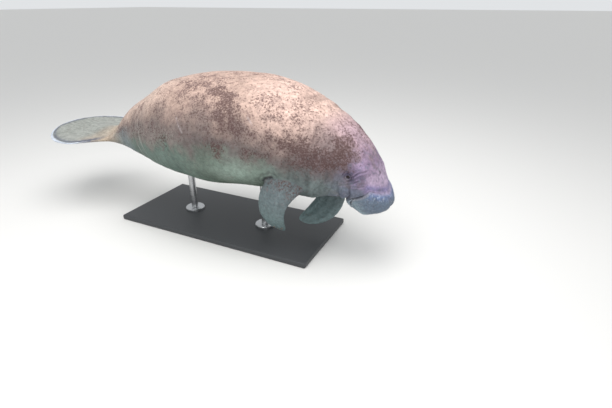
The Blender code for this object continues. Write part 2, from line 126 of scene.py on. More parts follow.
def band(value, start, full, leaving, end):
    # 1 between full and leaving, 0 outside start and end
    return eased(value, start, full) * fading(value, leaving, end)


def blunt(distance, reach, power):
    # swells from 0 at a form's end to 1 past reach
    left = np.clip(1 - np.asarray(distance, float) / reach, 0, 1)
    return (1 - left**power) ** (1 / power)


def powerOf(value, power):
    return np.sign(value) * np.abs(value) ** power


def bell(value, width):
    return np.exp(-((value / width) ** 2))


def stationCurve(column):
    return through([s[0] for s in manatee["stations"]], [s[column] for s in manatee["stations"]])


def makeSpine(step=0.005):
    backs = np.arange(0, manatee["length"] + step / 2, step)
    droop = np.radians(stationCurve(1)(backs))
    turn = -np.radians(manatee["headTurn"]) * fading(backs, 0.1, manatee["shoulders"])
    nose = np.stack([np.cos(droop) * np.cos(turn), np.cos(droop) * np.sin(turn), -np.sin(droop)], 1)
    left = np.stack([-np.sin(turn), np.cos(turn), np.zeros_like(turn)], 1)
    twisting = eased(backs, manatee["tailStock"], manatee["paddle"])[:, None]
    twist = np.radians(manatee["paddleTwist"]) * twisting
    up = np.cross(nose, left)
    twistedLeft = left * np.cos(twist) + up * np.sin(twist)
    twistedUp = up * np.cos(twist) - left * np.sin(twist)
    moves = (nose[1:] + nose[:-1]) / 2 * step
    points = np.concatenate([np.zeros((1, 3)), -np.cumsum(moves, 0)])
    middle = int(round(manatee["middle"] / step))
    points = points - points[middle]
    return {"back": backs, "point": points, "nose": nose, "left": twistedLeft, "up": twistedUp}


spine = makeSpine()
halfWidth = stationCurve(2)
above = stationCurve(3)
below = stationCurve(4)


def alongSpine(name, back):
    return np.stack([np.interp(back, spine["back"], spine[name][:, k]) for k in range(3)], -1)


def plainSection(back, angle):
    # the body without its relief, by a way back along the spine and an angle from the middle of the back
    back, angle = np.broadcast_arrays(np.asarray(back, float), np.asarray(angle, float))
    muzzleEnd = blunt(back, manatee["lipDepth"], manatee["lipBluntness"])
    tailEnd = blunt(manatee["length"] - back, manatee["paddleRounding"], 2.1)
    across = halfWidth(back) * muzzleEnd * tailEnd * powerOf(np.sin(angle), manatee["roundness"])
    reach = np.where(np.cos(angle) > 0, above(back), below(back)) * muzzleEnd
    roundBody = reach * powerOf(np.cos(angle), manatee["roundness"])
    edge = manatee["paddleEdge"]
    ridge = (above(back) - edge) * bell(across, manatee["paddleRidge"]) * np.cos(angle)
    sheet = edge * powerOf(np.cos(angle), 0.6) + ridge * (ridge * np.cos(angle) > 0)
    flat = eased(back, manatee["tailStock"] + 0.02, manatee["paddleRoot"] + 0.12)
    height = roundBody * (1 - flat) + sheet * flat * tailEnd**0.5
    point = alongSpine("point", back)
    return point + alongSpine("left", back) * across[..., None] + alongSpine("up", back) * height[..., None]


# The face's lines and mounds. A place is a way back and degrees down from the middle of the back.
face = {
    "girth": 0.118,  # metres of skin for each radian round the muzzle
    "bodyGirth": 0.36,  # and round the body
    "padEdge": (
        [0, 28, 50, 66, 81, 94, 106, 118, 180],
        [0.096, 0.116, 0.140, 0.160, 0.157, 0.156, 0.160, 0.168, 0.172],
    ),
    "mouth": ((0.167, 117), (0.146, 128), (0.112, 140), (0.078, 156), (0.062, 180)),
    "jawCrease": ((0.186, 180), (0.184, 136), (0.202, 117), (0.230, 105), (0.257, 97), (0.276, 91)),
    "neckFold": ((0.232, 180), (0.236, 152), (0.262, 132), (0.300, 116), (0.330, 104)),
    "browFold": ((0.300, 90), (0.278, 80), (0.269, 62), (0.251, 46)),
    "underEyeFold": ((0.305, 106), (0.274, 100), (0.250, 88), (0.240, 74)),
    "cheekFold": ((0.236, 92), (0.214, 84), (0.200, 72)),
    "armpitFold": ((0.790, 128), (0.765, 122), (0.720, 118)),
    "scarGirth": 0.30,  # and where the scratches are
    "scars": (  # old scratches on the right side
        ((0.490, 71), (0.478, 79), (0.480, 88)),
        ((0.880, 60), (0.850, 66)),
        ((1.330, 66), (1.290, 79)),
    ),
    "eye": (0.295, 86),
    "eyeRadius": 0.0115,
    "eyeSink": 0.62,
    "nostril": (0.208, 12),
    "nostrilSlant": 28,
    "eyeArea": 0.055,  # how far round the eye, its rim and the nostril the mesh is made finer
    "rimArea": 0.025,
    "nostrilArea": 0.034,
}
padEdge = through(*face["padEdge"])


def mound(back, side, middle, reachBack, reachSide):
    return bell(back - middle[0], reachBack) * bell(side - middle[1], reachSide)


def wayOff(back, side, line, girth=face["girth"]):
    # metres from a line on the skin
    here = np.stack([back, np.radians(side) * girth], -1)
    corners = np.array([(b, math.radians(s) * girth) for b, s in line])
    nearest = np.full(back.shape, 9.0)
    for start, end in zip(corners[:-1], corners[1:]):
        run = end - start
        t = np.clip(((here - start) @ run) / (run @ run), 0, 1)
        nearest = np.minimum(nearest, np.linalg.norm(here - start - t[..., None] * run, axis=-1))
    return nearest


def foldLine(back, side, name, width, beyond=0.0, girth=face["girth"]):
    # 1 along one of the face's lines, or a little way beyond it, and 0 away from it
    return bell(wayOff(back, side, face[name], girth) - beyond, width)


def sideOf(angle):
    return np.degrees(np.abs((angle + math.pi) % math.tau - math.pi))


def relief(back, angle):
    # how far the skin stands off the plain section: lips, cheeks, nose, jaw and the folds round them
    side = sideOf(angle)
    beforeEdge = padEdge(side) - back
    upperLip = fading(side, 128, 150)
    lift = 0.011 * eased(beforeEdge, -0.002, 0.022) * upperLip  # the upper lip's bristly pads
    lift -= 0.006 * bell(beforeEdge, 0.007) * eased(side, 35, 75) * upperLip
    lift += 0.004 * mound(back, side, (0.060, 105), 0.045, 34)
    lift -= 0.010 * mound(back, side, (0.020, 102), 0.038, 32)
    lift -= 0.008 * mound(back, side, (0.020, 0), 0.040, 10)  # the cleft between them
    lift += 0.006 * mound(back, side, (0.236, 14), 0.026, 26)  # the nose's rise behind the nostrils
    lift -= 0.004 * mound(back, side, (0.182, 10), 0.022, 26)
    lift += 0.011 * mound(back, side, (0.215, 96), 0.036, 20)  # cheek
    lift += 0.020 * mound(back, side, (0.120, 166), 0.048, 30)  # chin
    lift += 0.006 * mound(back, side, (0.310, 66), 0.035, 13)  # brow
    lift -= 0.006 * mound(back, side, (0.290, 86), 0.034, 13)  # the hollow that the eye sits in
    lift -= 0.010 * foldLine(back, side, "mouth", 0.008)
    lift -= 0.013 * foldLine(back, side, "jawCrease", 0.014) * eased(side, 88, 118)
    lift -= 0.006 * foldLine(back, side, "neckFold", 0.012)
    lift *= band(back, -0.02, 0.03, 0.36, 0.42)
    lipFace = 0.010 + 0.006 * eased(side, 20, 60)  # how flat the upper lip's face is
    return lift - lipFace * fading(back, 0, 0.045)


def skinPoint(back, angle, lift=0.0):
    back, angle = np.broadcast_arrays(np.asarray(back, float), np.asarray(angle, float))
    little = 1e-3
    forward = plainSection(back - little, angle) - plainSection(back + little, angle)
    around = plainSection(back, angle + little) - plainSection(back, angle - little)
    outward = np.cross(forward, around)
    outward /= np.maximum(np.linalg.norm(outward, axis=-1, keepdims=True), 1e-12)
    return plainSection(back, angle) + outward * (relief(back, angle) + lift)[..., None], outward


def axesAt(place, hand, lift=0.0):
    # a frame on the skin: X towards the nose, Z outward
    angle = math.radians(place[1]) * hand
    point, outward = skinPoint(place[0], angle, lift)
    ahead, _ = skinPoint(place[0] - 0.004, angle, lift)
    z = Vector(outward)
    x = Vector(ahead - point)
    x = (x - z * x.dot(z)).normalized()
    y = z.cross(x)
    return Matrix((x, y, z)).transposed(), Vector(point)


def middleOf(node):
    low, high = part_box(node)
    return (low + high) / 2


# The solids stand on the origin, so everything here is moved as they were, by the eyes' own places
hands = {"left": 1, "right": -1}
eyeSeats = {s: axesAt(face["eye"], h, -face["eyeRadius"] * face["eyeSink"]) for s, h in hands.items()}
moves = [middleOf("eye_" + s) - eyeSeats[s][1] for s in hands]
shift = np.array((moves[0] + moves[1]) / 2)
print("moved by", [round(float(v), 4) for v in shift])
print("the eyes differ by", round((moves[0] - moves[1]).length, 6))


def gridFaces(rings, count):
    r = np.arange(rings - 1)[:, None] * count
    k = np.arange(count)[None, :]
    following = (k + 1) % count
    quads = np.stack([r + k, r + following, r + count + following, r + count + k], -1)
    return quads.reshape(-1, 4)


def addPiece(name, data):
    piece = bpy.data.objects.new(name, data)
    bpy.context.scene.collection.objects.link(piece)
    return piece


def smoothPiece(name, mesh, material):
    mesh.materials.append(material)
    mesh.shade_smooth()
    return addPiece(name, mesh)


def loftMesh(name, rings, first, last):
    count = rings.shape[1]
    points = np.concatenate([rings.reshape(-1, 3), [first, last]]) + shift
    start = len(points) - 2
    end = len(points) - 1
    final = (len(rings) - 1) * count
    faces = gridFaces(len(rings), count).tolist()
    faces += [(start, (k + 1) % count, k) for k in range(count)]
    faces += [(end, final + k, final + (k + 1) % count) for k in range(count)]
    mesh = bpy.data.meshes.new(name)
    mesh.from_pydata(points.tolist(), [], faces)
    work = bmesh.new()
    work.from_mesh(mesh)
    bmesh.ops.recalc_face_normals(work, faces=work.faces)
    work.to_mesh(mesh)
    work.free()
    return addPiece(name, mesh)


def bodyLoft():
    length = manatee["length"]
    depth = manatee["lipDepth"]
    bluntness = manatee["lipBluntness"]
    turn = np.linspace(0, 0.955, 30)[1:] * math.pi / 2
    lips = depth * (1 - (1 - np.sin(turn) ** bluntness) ** (1 / bluntness))
    head = np.arange(lips[-1] + manatee["headStep"], 0.43, manatee["headStep"])
    tipTurn = np.linspace(0, 0.97, 16)[1:] * math.pi / 2
    tip = length - (1 - np.cos(tipTurn)) * 0.06
    rest = np.arange(head[-1] + manatee["bodyStep"], tip[-1], manatee["bodyStep"])
    backs = np.concatenate([lips, head, rest, tip[::-1]])
    angles = np.arange(manatee["sides"]) * 2 * math.pi / manatee["sides"]
    rings, _ = skinPoint(backs[:, None], angles[None, :])
    return loftMesh("skin", rings, rings[0].mean(0), alongSpine("point", length))


# Each flipper in its pose: its place on the skin, the handles that bend its middle line, measured from there,
# and the ways that its leading edge faces at the shoulder and at the tip
flippers = {
    "right": {
        "shoulder": (0.617, 126),
        "handles": ((-0.065, 0.12, 0.014), (-0.148, 0.097, -0.208), (-0.06, -0.058, -0.341)),
        "edges": ((1, -0.15, -0.91), (1, 0.23, 0.475)),
        "spread": 1.0,  # how much wider it fans out at the tip
    },
    "left": {
        "shoulder": (0.585, 134),
        "handles": ((0.215, -0.01, -0.094), (0.075, -0.034, -0.294), (-0.072, -0.205, -0.32)),
        "edges": ((1, -0.42, 0.18), (0.57, -0.34, -0.68)),
        "spread": 1.14,
    },
    "sink": 0.12,
    "rings": 150,
    "sides": 84,
}
limbWidth = through([0, 0.25, 0.45, 0.7, 0.9, 1], [0.130, 0.110, 0.100, 0.090, 0.072, 0.060])
limbDepth = through([0, 0.25, 0.45, 0.7, 0.9, 1], [0.062, 0.046, 0.033, 0.020, 0.012, 0.010])


def limbFrames(side, count=60):
    limb = flippers[side]
    hand = hands[side]
    shoulder, outward = skinPoint(limb["shoulder"][0], math.radians(limb["shoulder"][1]) * hand)
    posed = [shoulder + np.array((h[0], h[1] * hand, h[2])) for h in limb["handles"]]
    handles = [shoulder - outward * flippers["sink"], shoulder, *posed]
    share = np.linspace(0, 1, count)[:, None]
    last = len(handles) - 1
    line = sum(math.comb(last, n) * share**n * (1 - share) ** (last - n) * h for n, h in enumerate(handles))
    run = np.gradient(line, axis=0)
    run /= np.linalg.norm(run, axis=1, keepdims=True)
    root, tip = (np.array((e[0], e[1] * hand, e[2]), float) for e in limb["edges"])
    chord = root * (1 - share) + tip * share
    chord -= (chord * run).sum(1, keepdims=True) * run
    chord /= np.linalg.norm(chord, axis=1, keepdims=True)
    fanned = chord * (1 + (limb["spread"] - 1) * share)
    return {"line": line, "chord": fanned, "face": np.cross(chord, run) * hand}


def limbPoint(frames, share, angle):
    spots = np.linspace(0, 1, len(frames["line"]))
    share, angle = np.broadcast_arrays(np.asarray(share, float), np.asarray(angle, float))
    line, chord, out = (
        np.stack([np.interp(share, spots, frames[name][:, k]) for k in range(3)], -1)
        for name in ("line", "chord", "face")
    )
    end = blunt(1 - share, 0.26, 2.0)
    wide = limbWidth(share) * end * powerOf(np.cos(angle), 0.92) - 0.014 * (1 - end)
    squarer = 1.0 - 0.25 * eased(share, 0.35, 0.65)
    deep = limbDepth(share) * np.maximum(end, 0.02) ** 0.7 * powerOf(np.sin(angle), squarer)
    deep = deep * (1 + 0.35 * np.cos(angle) * eased(share, 0.3, 0.8))
    fingers = 0.0022 * np.cos(wide * 115) * eased(share, 0.45, 0.7) * fading(share, 0.9, 0.98)
    deep = deep + fingers * np.sin(angle)
    return line + chord * wide[..., None] + out * deep[..., None]


def flipperLoft(side, frames):
    share = 1 - (1 - np.linspace(0, 1, flippers["rings"])) ** 1.25
    share[-1] = 0.9995
    angles = np.arange(flippers["sides"]) * 2 * math.pi / flippers["sides"]
    rings = limbPoint(frames, share[:, None], angles[None, :])
    return loftMesh("flipperLoft", rings, rings[0].mean(0), rings[-1].mean(0))


def readAll(items, name, wide=1, kind=float):
    values = np.empty(len(items) * wide, kind)
    items.foreach_get(name, values)
    return values.reshape(-1, wide) if wide > 1 else values


def readPoints(mesh):
    return readAll(mesh.vertices, "co", 3)


def writePoints(mesh, points):
    mesh.vertices.foreach_set("co", points.ravel())
    mesh.update()


def faceOwners(mesh):
    # 0 for the body, 1 and 2 for the flippers, and the vertex and face of each corner
    owners = readAll(mesh.polygons, "material_index", kind=int)
    sizes = readAll(mesh.polygons, "loop_total", kind=int)
    corners = readAll(mesh.loops, "vertex_index", kind=int)
    return owners, corners, np.repeat(np.arange(len(sizes)), sizes)


def joinFlippers(skin, lofts):
    for loft in lofts:
        joining = skin.modifiers.new("join", "BOOLEAN")
        joining.operation = "UNION"
        joining.object = loft
        joining.solver = "MANIFOLD"
    graph = bpy.context.evaluated_depsgraph_get()
    made = bpy.data.meshes.new_from_object(skin.evaluated_get(graph))
    skin.modifiers.clear()
    skin.data = made
    for loft in lofts:
        bpy.data.objects.remove(loft)


def smoothed(points, edges, weights, rounds):
    count = len(points)
    links = np.bincount(edges.ravel(), minlength=count)
    for _ in range(rounds):
        total = np.zeros_like(points)
        for k in range(3):
            total[:, k] = np.bincount(edges[:, 0], points[edges[:, 1], k], count)
            total[:, k] += np.bincount(edges[:, 1], points[edges[:, 0], k], count)
        points = points + (total / np.maximum(links, 1)[:, None] - points) * weights[:, None]
    return points


def softenJoints(mesh, reach=0.05, rounds=60):
    # rounds off the line where each flipper leaves the body
    owners, corners, faces = faceOwners(mesh)
    low = np.full(len(mesh.vertices), 9)
    high = np.full(len(mesh.vertices), -1)
    np.minimum.at(low, corners, owners[faces])
    np.maximum.at(high, corners, owners[faces])
    points = readPoints(mesh)
    seam = points[low != high]
    near = np.full(len(points), 9.0)
    inside = np.all((points > seam.min(0) - reach) & (points < seam.max(0) + reach), axis=1)
    for part in np.array_split(np.flatnonzero(inside), 60):
        apart = points[part][:, None] - seam[None]
        near[part] = np.sqrt((apart**2).sum(-1)).min(1)
    weights = np.clip(1 - near / reach, 0, 1) ** 1.5 * 0.6
    edges = readAll(mesh.edges, "vertices", 2, int)
    writePoints(mesh, smoothed(points, edges, weights, rounds))


def refineAround(mesh, spots, cuts=2):
    # smaller faces where the eyes and nostrils need them
    points = readPoints(mesh)
    chosen = np.zeros(len(points), bool)
    for spot, reach in spots:
        chosen |= np.linalg.norm(points - spot, axis=1) < reach
    work = bmesh.new()
    work.from_mesh(mesh)
    work.verts.ensure_lookup_table()
    picked = [e for e in work.edges if chosen[e.verts[0].index] and chosen[e.verts[1].index]]
    bmesh.ops.subdivide_edges(work, edges=picked, cuts=cuts, use_grid_fill=True, smooth=0.0)
    work.to_mesh(mesh)
    work.free()


def grain(points, size, seed):
    # smooth noise from -1 to 1, with features about size across
    spot = points / size + seed * 17.3
    cell = np.floor(spot).astype(np.int64)
    part = spot - cell
    ease = part * part * part * (part * (part * 6 - 15) + 10)
    total = np.zeros(len(points))
    for corner in range(8):
        offset = np.array([corner & 1, corner >> 1 & 1, corner >> 2 & 1])
        at = cell + offset
        mixed = (at[:, 0] * 73856093) ^ (at[:, 1] * 19349663) ^ (at[:, 2] * 83492791) ^ (seed * 2654435)
        mixed = (mixed ^ (mixed >> 13)) * 1274126177
        mixed = mixed ^ (mixed >> 16)
        lean = np.stack([mixed & 1023, mixed >> 10 & 1023, mixed >> 20 & 1023], 1) / 511.5 - 1
        away = part - offset
        weight = np.prod(np.where(offset == 1, ease, 1 - ease), axis=1)
        total += weight * (lean * away).sum(1)
    return np.clip(total * 1.5, -1, 1)


def ridges(points, size, seed):
    # thin lines where the noise crosses zero: 1 on a line, 0 away from it
    return np.clip(1 - np.abs(grain(points, size, seed)) * 5, 0, 1) ** 1.5


def nearestOn(points, line):
    return ((points[:, None] - line[None]) ** 2).sum(-1).argmin(1)


def spineCoordinates(points):
    # each point's way back, angle round the spine, and its place in the straightened body
    local = points - shift
    back = np.empty(len(local))
    for part in np.array_split(np.arange(len(local)), 80):
        nearest = nearestOn(local[part], spine["point"])
        along = ((local[part] - spine["point"][nearest]) * spine["nose"][nearest]).sum(1)
        back[part] = spine["back"][nearest] - along
    apart = local - alongSpine("point", back)
    across = (apart * alongSpine("left", back)).sum(1)
    height = (apart * alongSpine("up", back)).sum(1)
    tall = np.where(height > 0, above(back), below(back))
    angle = np.arctan2(across / halfWidth(back), height / tall)
    return back, angle, np.stack([-back, across, height], 1)


def limbCoordinates(points, frames):
    # each point's share of the way to the tip, and how far it is across and out from the middle line
    local = points - shift
    nearest = nearestOn(local, frames["line"])
    offset = local - frames["line"][nearest]
    run = np.gradient(frames["line"], axis=0)[nearest]
    last = len(frames["line"]) - 1
    share = nearest / last + (offset * run).sum(1) / (run**2).sum(1) / last
    wide = (offset * frames["chord"][nearest]).sum(1)
    deep = (offset * frames["face"][nearest]).sum(1)
    return share, wide, deep


def localTo(points, name, hand, slant=0):
    # places in a frame on the skin, at the eye or the nostril
    turn, seat = axesAt(face[name], hand)
    turn = np.array(turn @ Matrix.Rotation(math.radians(-slant * hand), 3, "Z")) if slant else np.array(turn)
    return (points - shift - np.array(seat)) @ turn


def eyeRelief(points, side):
    # a round thick rim that closes like a purse, with folds round it
    local = localTo(points, "eye", hands[side])
    away = np.hypot(local[:, 0] / 1.12, local[:, 1] / 0.90)
    bearing = np.arctan2(local[:, 1], local[:, 0])
    near = (away < 0.06) & (np.abs(local[:, 2]) < 0.05)
    wavy = away + 0.0022 * np.sin(bearing * 2 + 0.7) + 0.0012 * np.sin(bearing * 3 - 1.1)
    lift = 0.0042 * bell(away - 0.0135, 0.0042)
    lift -= 0.0080 * fading(away, 0.0062, 0.0096)
    lift -= 0.0018 * bell(wavy - 0.0205, 0.0024) * (0.65 + 0.35 * np.cos(bearing - 2.0))
    lift += 0.0014 * bell(wavy - 0.0255, 0.0034)
    lift -= 0.0015 * bell(wavy - 0.0330, 0.0030) * (0.5 + 0.5 * np.cos(bearing - 0.9))
    lift += 0.0008 * bell(wavy - 0.0385, 0.0036)
    lift += 0.0004 * np.sin(bearing * 21 + 2 * np.sin(bearing * 3)) * bell(away - 0.015, 0.004)
    return lift * near


def nostrilRelief(points, side):
    # a closed valve: a curved slit behind a swollen rim
    hand = hands[side]
    local = localTo(points, "nostril", hand, face["nostrilSlant"])
    near = (np.hypot(local[:, 0], local[:, 1]) < 0.05) & (np.abs(local[:, 2]) < 0.04)
    bowed = local[:, 1] - hand * (26 * local[:, 0] ** 2 - 0.002)
    within = fading(np.abs(local[:, 0]), 0.009, 0.016)
    lift = -0.0095 * bell(bowed, 0.0028) * within
    lift += 0.0034 * bell(np.hypot(local[:, 0] / 1.25, local[:, 1]) - 0.012, 0.0065)
    return lift * near


def streaky(straight, squash, size, seed):
    # lines that run further round the body than along it
    return ridges(straight * (1.0, squash, squash), size, seed)


def faceRelief(back, side, straight):
    # the folds that the solids are too plain for
    beforeEdge = padEdge(side) - back
    lip = fading(side, 122, 140) * eased(side, 26, 60)
    lift = -0.0050 * foldLine(back, side, "mouth", 0.0034) * (0.4 + 0.6 * eased(side, 112, 128))
    lift += 0.0024 * foldLine(back, side, "mouth", 0.0050, 0.0110)
    lift += 0.0046 * bell(beforeEdge, 0.0070) * eased(side, 35, 75) * fading(side, 86, 100)
    lift -= 0.0018 * bell(beforeEdge + 0.0015, 0.0036) * lip
    lift += 0.0030 * bell(beforeEdge - 0.0110, 0.0055) * lip
    lift -= 0.0022 * bell(beforeEdge + 0.0140, 0.0030) * lip
    broken = 0.6 + 0.6 * grain(straight, 0.022, 4)
    lift -= 0.0020 * foldLine(back, side, "browFold", 0.0042) * broken
    lift += 0.0016 * foldLine(back, side, "browFold", 0.0050, 0.0080)
    lift -= 0.0024 * foldLine(back, side, "underEyeFold", 0.0042) * broken
    lift -= 0.0022 * foldLine(back, side, "cheekFold", 0.0040) * broken
    lift -= 0.0030 * foldLine(back, side, "jawCrease", 0.0040) * eased(side, 84, 110)
    lift -= 0.0030 * foldLine(back, side, "neckFold", 0.0045)
    pads = eased(beforeEdge, 0.004, 0.016) * fading(side, 140, 165)
    lift += 0.0013 * grain(straight, 0.009, 3) * pads
    lift -= 0.0016 * ridges(straight, 0.016, 5) * pads
    creased = band(back, 0.12, 0.2, 0.5, 0.75)
    lift -= 0.0022 * streaky(straight, 0.55, 0.030, 8) * creased
    return lift - 0.0010 * streaky(straight, 0.6, 0.013, 9) * creased


def bodyRelief(back, side, straight):
    neck = band(back, 0.30, 0.40, 0.62, 0.85)
    lift = 0.0035 * grain(straight, 0.17, 11) * eased(back, 0.45, 0.7)
    lift += 0.0050 * grain(straight * (1.0, 0.28, 0.28), 0.060, 12) * neck
    lift -= 0.0036 * streaky(straight, 0.30, 0.050, 13) * neck
    trunk = band(back, 0.6, 0.8, 2.1, 2.25)
    lift -= 0.0024 * streaky(straight, 0.35, 0.085, 14) * trunk * eased(side, 70, 130)
    lift -= 0.0012 * ridges(straight, 0.045, 15) * trunk
    stock = band(back, 1.75, 1.95, 2.15, 2.3)
    lift -= 0.0022 * streaky(straight, 0.4, 0.050, 16) * stock
    paddle = eased(back, 2.15, 2.35)
    lift += 0.0012 * grain(straight * (0.16, 1, 1), 0.016, 17) * paddle
    lift -= 0.0012 * ridges(straight * (0.5, 1, 1), 0.040, 18) * paddle
    lift -= 0.0090 * foldLine(back, side, "armpitFold", 0.010, 0.0, face["bodyGirth"])
    return lift - 0.0050 * foldLine(back, side, "armpitFold", 0.008, 0.035, face["bodyGirth"])


def limbRelief(share, wide, deep):
    spot = np.stack([share * 0.5, wide, deep], 1)
    lift = -0.0020 * streaky(spot, 0.35, 0.026, 21) * eased(share, 0.18, 0.3)
    return lift + 0.0010 * grain(spot, 0.014, 22)


def shapeSkin():
    skin = bodyLoft()
    frames = {s: limbFrames(s) for s in flippers if s in hands}
    lofts = [flipperLoft(s, frames[s]) for s in ("right", "left")]
    marks = [bpy.data.materials.new(n) for n in ("bodyMark", "rightMark", "leftMark")]
    for index, loft in enumerate([skin, *lofts]):
        for mark in marks:
            loft.data.materials.append(mark)
        loft.data.polygons.foreach_set("material_index", np.full(len(loft.data.polygons), index))
    joinFlippers(skin, lofts)
    mesh = skin.data
    softenJoints(mesh)
    eyes, nostrils = (
        [np.array(axesAt(face[name], h)[1]) + shift for h in hands.values()] for name in ("eye", "nostril")
    )
    areas = [(spot, face["eyeArea"]) for spot in eyes] + [(spot, face["nostrilArea"]) for spot in nostrils]
    refineAround(mesh, areas)
    refineAround(mesh, [(spot, face["rimArea"]) for spot in eyes], 1)
    print("skin joined:", len(mesh.vertices), "vertices")
    return skin, frames, marks


def detailSkin(skin, frames):
    mesh = skin.data
    owners, corners, faces = faceOwners(mesh)
    owner = np.zeros(len(mesh.vertices), int)
    np.maximum.at(owner, corners, owners[faces])
    points = readPoints(mesh)
    back, angle, straight = spineCoordinates(points)
    side = sideOf(angle)
    isBody = owner == 0
    share, wide, deep, lift = np.zeros((4, len(points)))
    head = isBody & (back < 0.8)
    lift[head] += faceRelief(back[head], side[head], straight[head])
    lift[isBody] += bodyRelief(back[isBody], side[isBody], straight[isBody])
    for number, hand in ((1, "right"), (2, "left")):
        mine = owner == number
        share[mine], wide[mine], deep[mine] = limbCoordinates(points[mine], frames[hand])
        lift[mine] += limbRelief(share[mine], wide[mine], deep[mine])
    for hand in hands:
        lift += eyeRelief(points, hand) + nostrilRelief(points, hand)
    writePoints(mesh, points + readAll(mesh.vertices, "normal", 3) * lift[:, None])
    print("skin detailed")
    return {
        "owner": owner, "back": back, "side": side, "angle": angle, "straight": straight,
        "share": share, "wide": wide, "deep": deep, "lift": lift,
    }


def paint(red, green, blue):
    # turns a colour as a colour picker shows it, from 0 to 255, into the shader's own scale
    darkest = 10
    return np.array([
        c / 255 / 12.92 if c <= darkest else ((c / 255 + 0.055) / 1.055) ** 2.4 for c in (red, green, blue)
    ])


hidePalette = {
    "top": (186, 158, 144),
    # painted light on the top of the shoulders
    "shoulderTopLit": (216, 184, 170),
    "flank": (108, 98, 96),
    # green-grey belly, partly painted shade with a green cast of bounced light
    "belly": (98, 112, 101),
    "throat": (108, 120, 120),
    "neck": (116, 103, 108),
    "brow": (136, 116, 140),
    "nose": (180, 160, 184),
    "aboveLip": (124, 116, 156),
    "cheek": (107, 113, 129),
    "cheekShade": (98, 88, 112),
    # painted shade for the hollow round the eye
    "eyeHollowShade": (60, 53, 74),
    "pad": (96, 110, 126),
    "padTop": (106, 122, 158),
    "padLow": (134, 152, 162),
    # painted highlight for the ridges beside the mouth and above the pads, and for the lower lid
    "ridgeHighlight": (152, 150, 156),
    # painted shade for the deep folds and round the nostril
    "foldShade": (58, 50, 62),
    "tail": (146, 149, 143),
    # the paddle's pale rim, also used for painted glints on the pads' bristles
    "paleRimAndGlint": (196, 204, 216),
    "rimShade": (80, 86, 102),
    "flipper": (100, 112, 115),
    "flipperTip": (108, 127, 128),
    "rearBelly": (97, 117, 108),
    "rearFlank": (143, 134, 128),
    "nape": (186, 158, 172),
    # painted light lifting the belly behind the flipper
    "algae": (84, 62, 60),
    "patch": (110, 88, 86),
    # painted light on the top of the rear back
    "rearTopLit": (206, 180, 165),
    "frontBellyLit": (140, 158, 147),
    "stockSide": (122, 134, 138),
    "tailRoot": (178, 160, 140),
    "browShade": (74, 68, 98),
    # painted highlight for the brow and for the ridges beside its folds
    "browHighlight": (176, 154, 188),
    "paleStreak": (186, 182, 176),
    # the old scratches' pale colour, also laid thinly on raised relief as a painted highlight
    "scarAndRidgeHighlight": (196, 184, 186),
}
hideColours = {name: paint(*colour) for name, colour in hidePalette.items()}


def mixed(base, colour, amount):
    return base + (np.asarray(colour) - base) * np.clip(amount, 0, 1)[:, None]


def layered(first, *layers):
    # the palette's colours laid one over another, each as thick as its amount
    hide = hideColours[first][None] if isinstance(first, str) else first
    for name, amount in layers:
        hide = mixed(hide, hideColours[name], amount)
    return hide


def headColour(back, side, broad):
    # lilac brow and nose, partly painted light from above, grey cheeks, and blue-grey pads with a purple band
    # above them
    beforeEdge = padEdge(side) - back
    wavy = back + 0.012 * broad
    hide = layered(
        "brow",
        ("nose", fading(back + 0.02 * broad, 0.19, 0.27) * fading(side, 48, 80)),
        ("cheek", eased(side + 12 * broad, 62, 96)),
        ("cheekShade", mound(back, side, (0.262, 68), 0.040, 18) * 0.9),
        # a painted highlight on the brow
        ("browHighlight", mound(back, side, (0.290, 48), 0.022, 12) * 0.8),
        ("browShade", mound(wavy, side, (0.324, 77), 0.062, 11) * 0.95),
        ("cheekShade", mound(wavy, side, (0.230, 80), 0.034, 16) * 0.75),
        # painted highlights on the ridges beside the brow, under-eye and cheek folds
        ("browHighlight", foldLine(back, side, "browFold", 0.0035, 0.0075) * 0.3),
        ("browHighlight", foldLine(back, side, "underEyeFold", 0.0035, 0.0075) * 0.3),
        ("browHighlight", foldLine(back, side, "cheekFold", 0.0035, 0.0075) * 0.3),
        ("aboveLip", bell(beforeEdge + 0.022, 0.020) * fading(side, 60, 95) * 0.9),
    )
    # the pads' darker blue-grey is partly painted shade, as they face down away from the light
    pads = layered(
        "pad",
        ("padLow", eased(side, 92, 125)),
        ("padTop", bell(beforeEdge - 0.018, 0.024) * fading(side, 62, 92)),
    )
    hide = mixed(hide, pads, eased(beforeEdge + 0.005 * broad, -0.014, 0.020))
    # a painted highlight along the ridge above the pads
    ridge = bell(beforeEdge - 0.008, 0.007) * eased(side, 58, 78) * fading(side, 112, 126)
    return layered(hide, ("ridgeHighlight", ridge * 0.5))


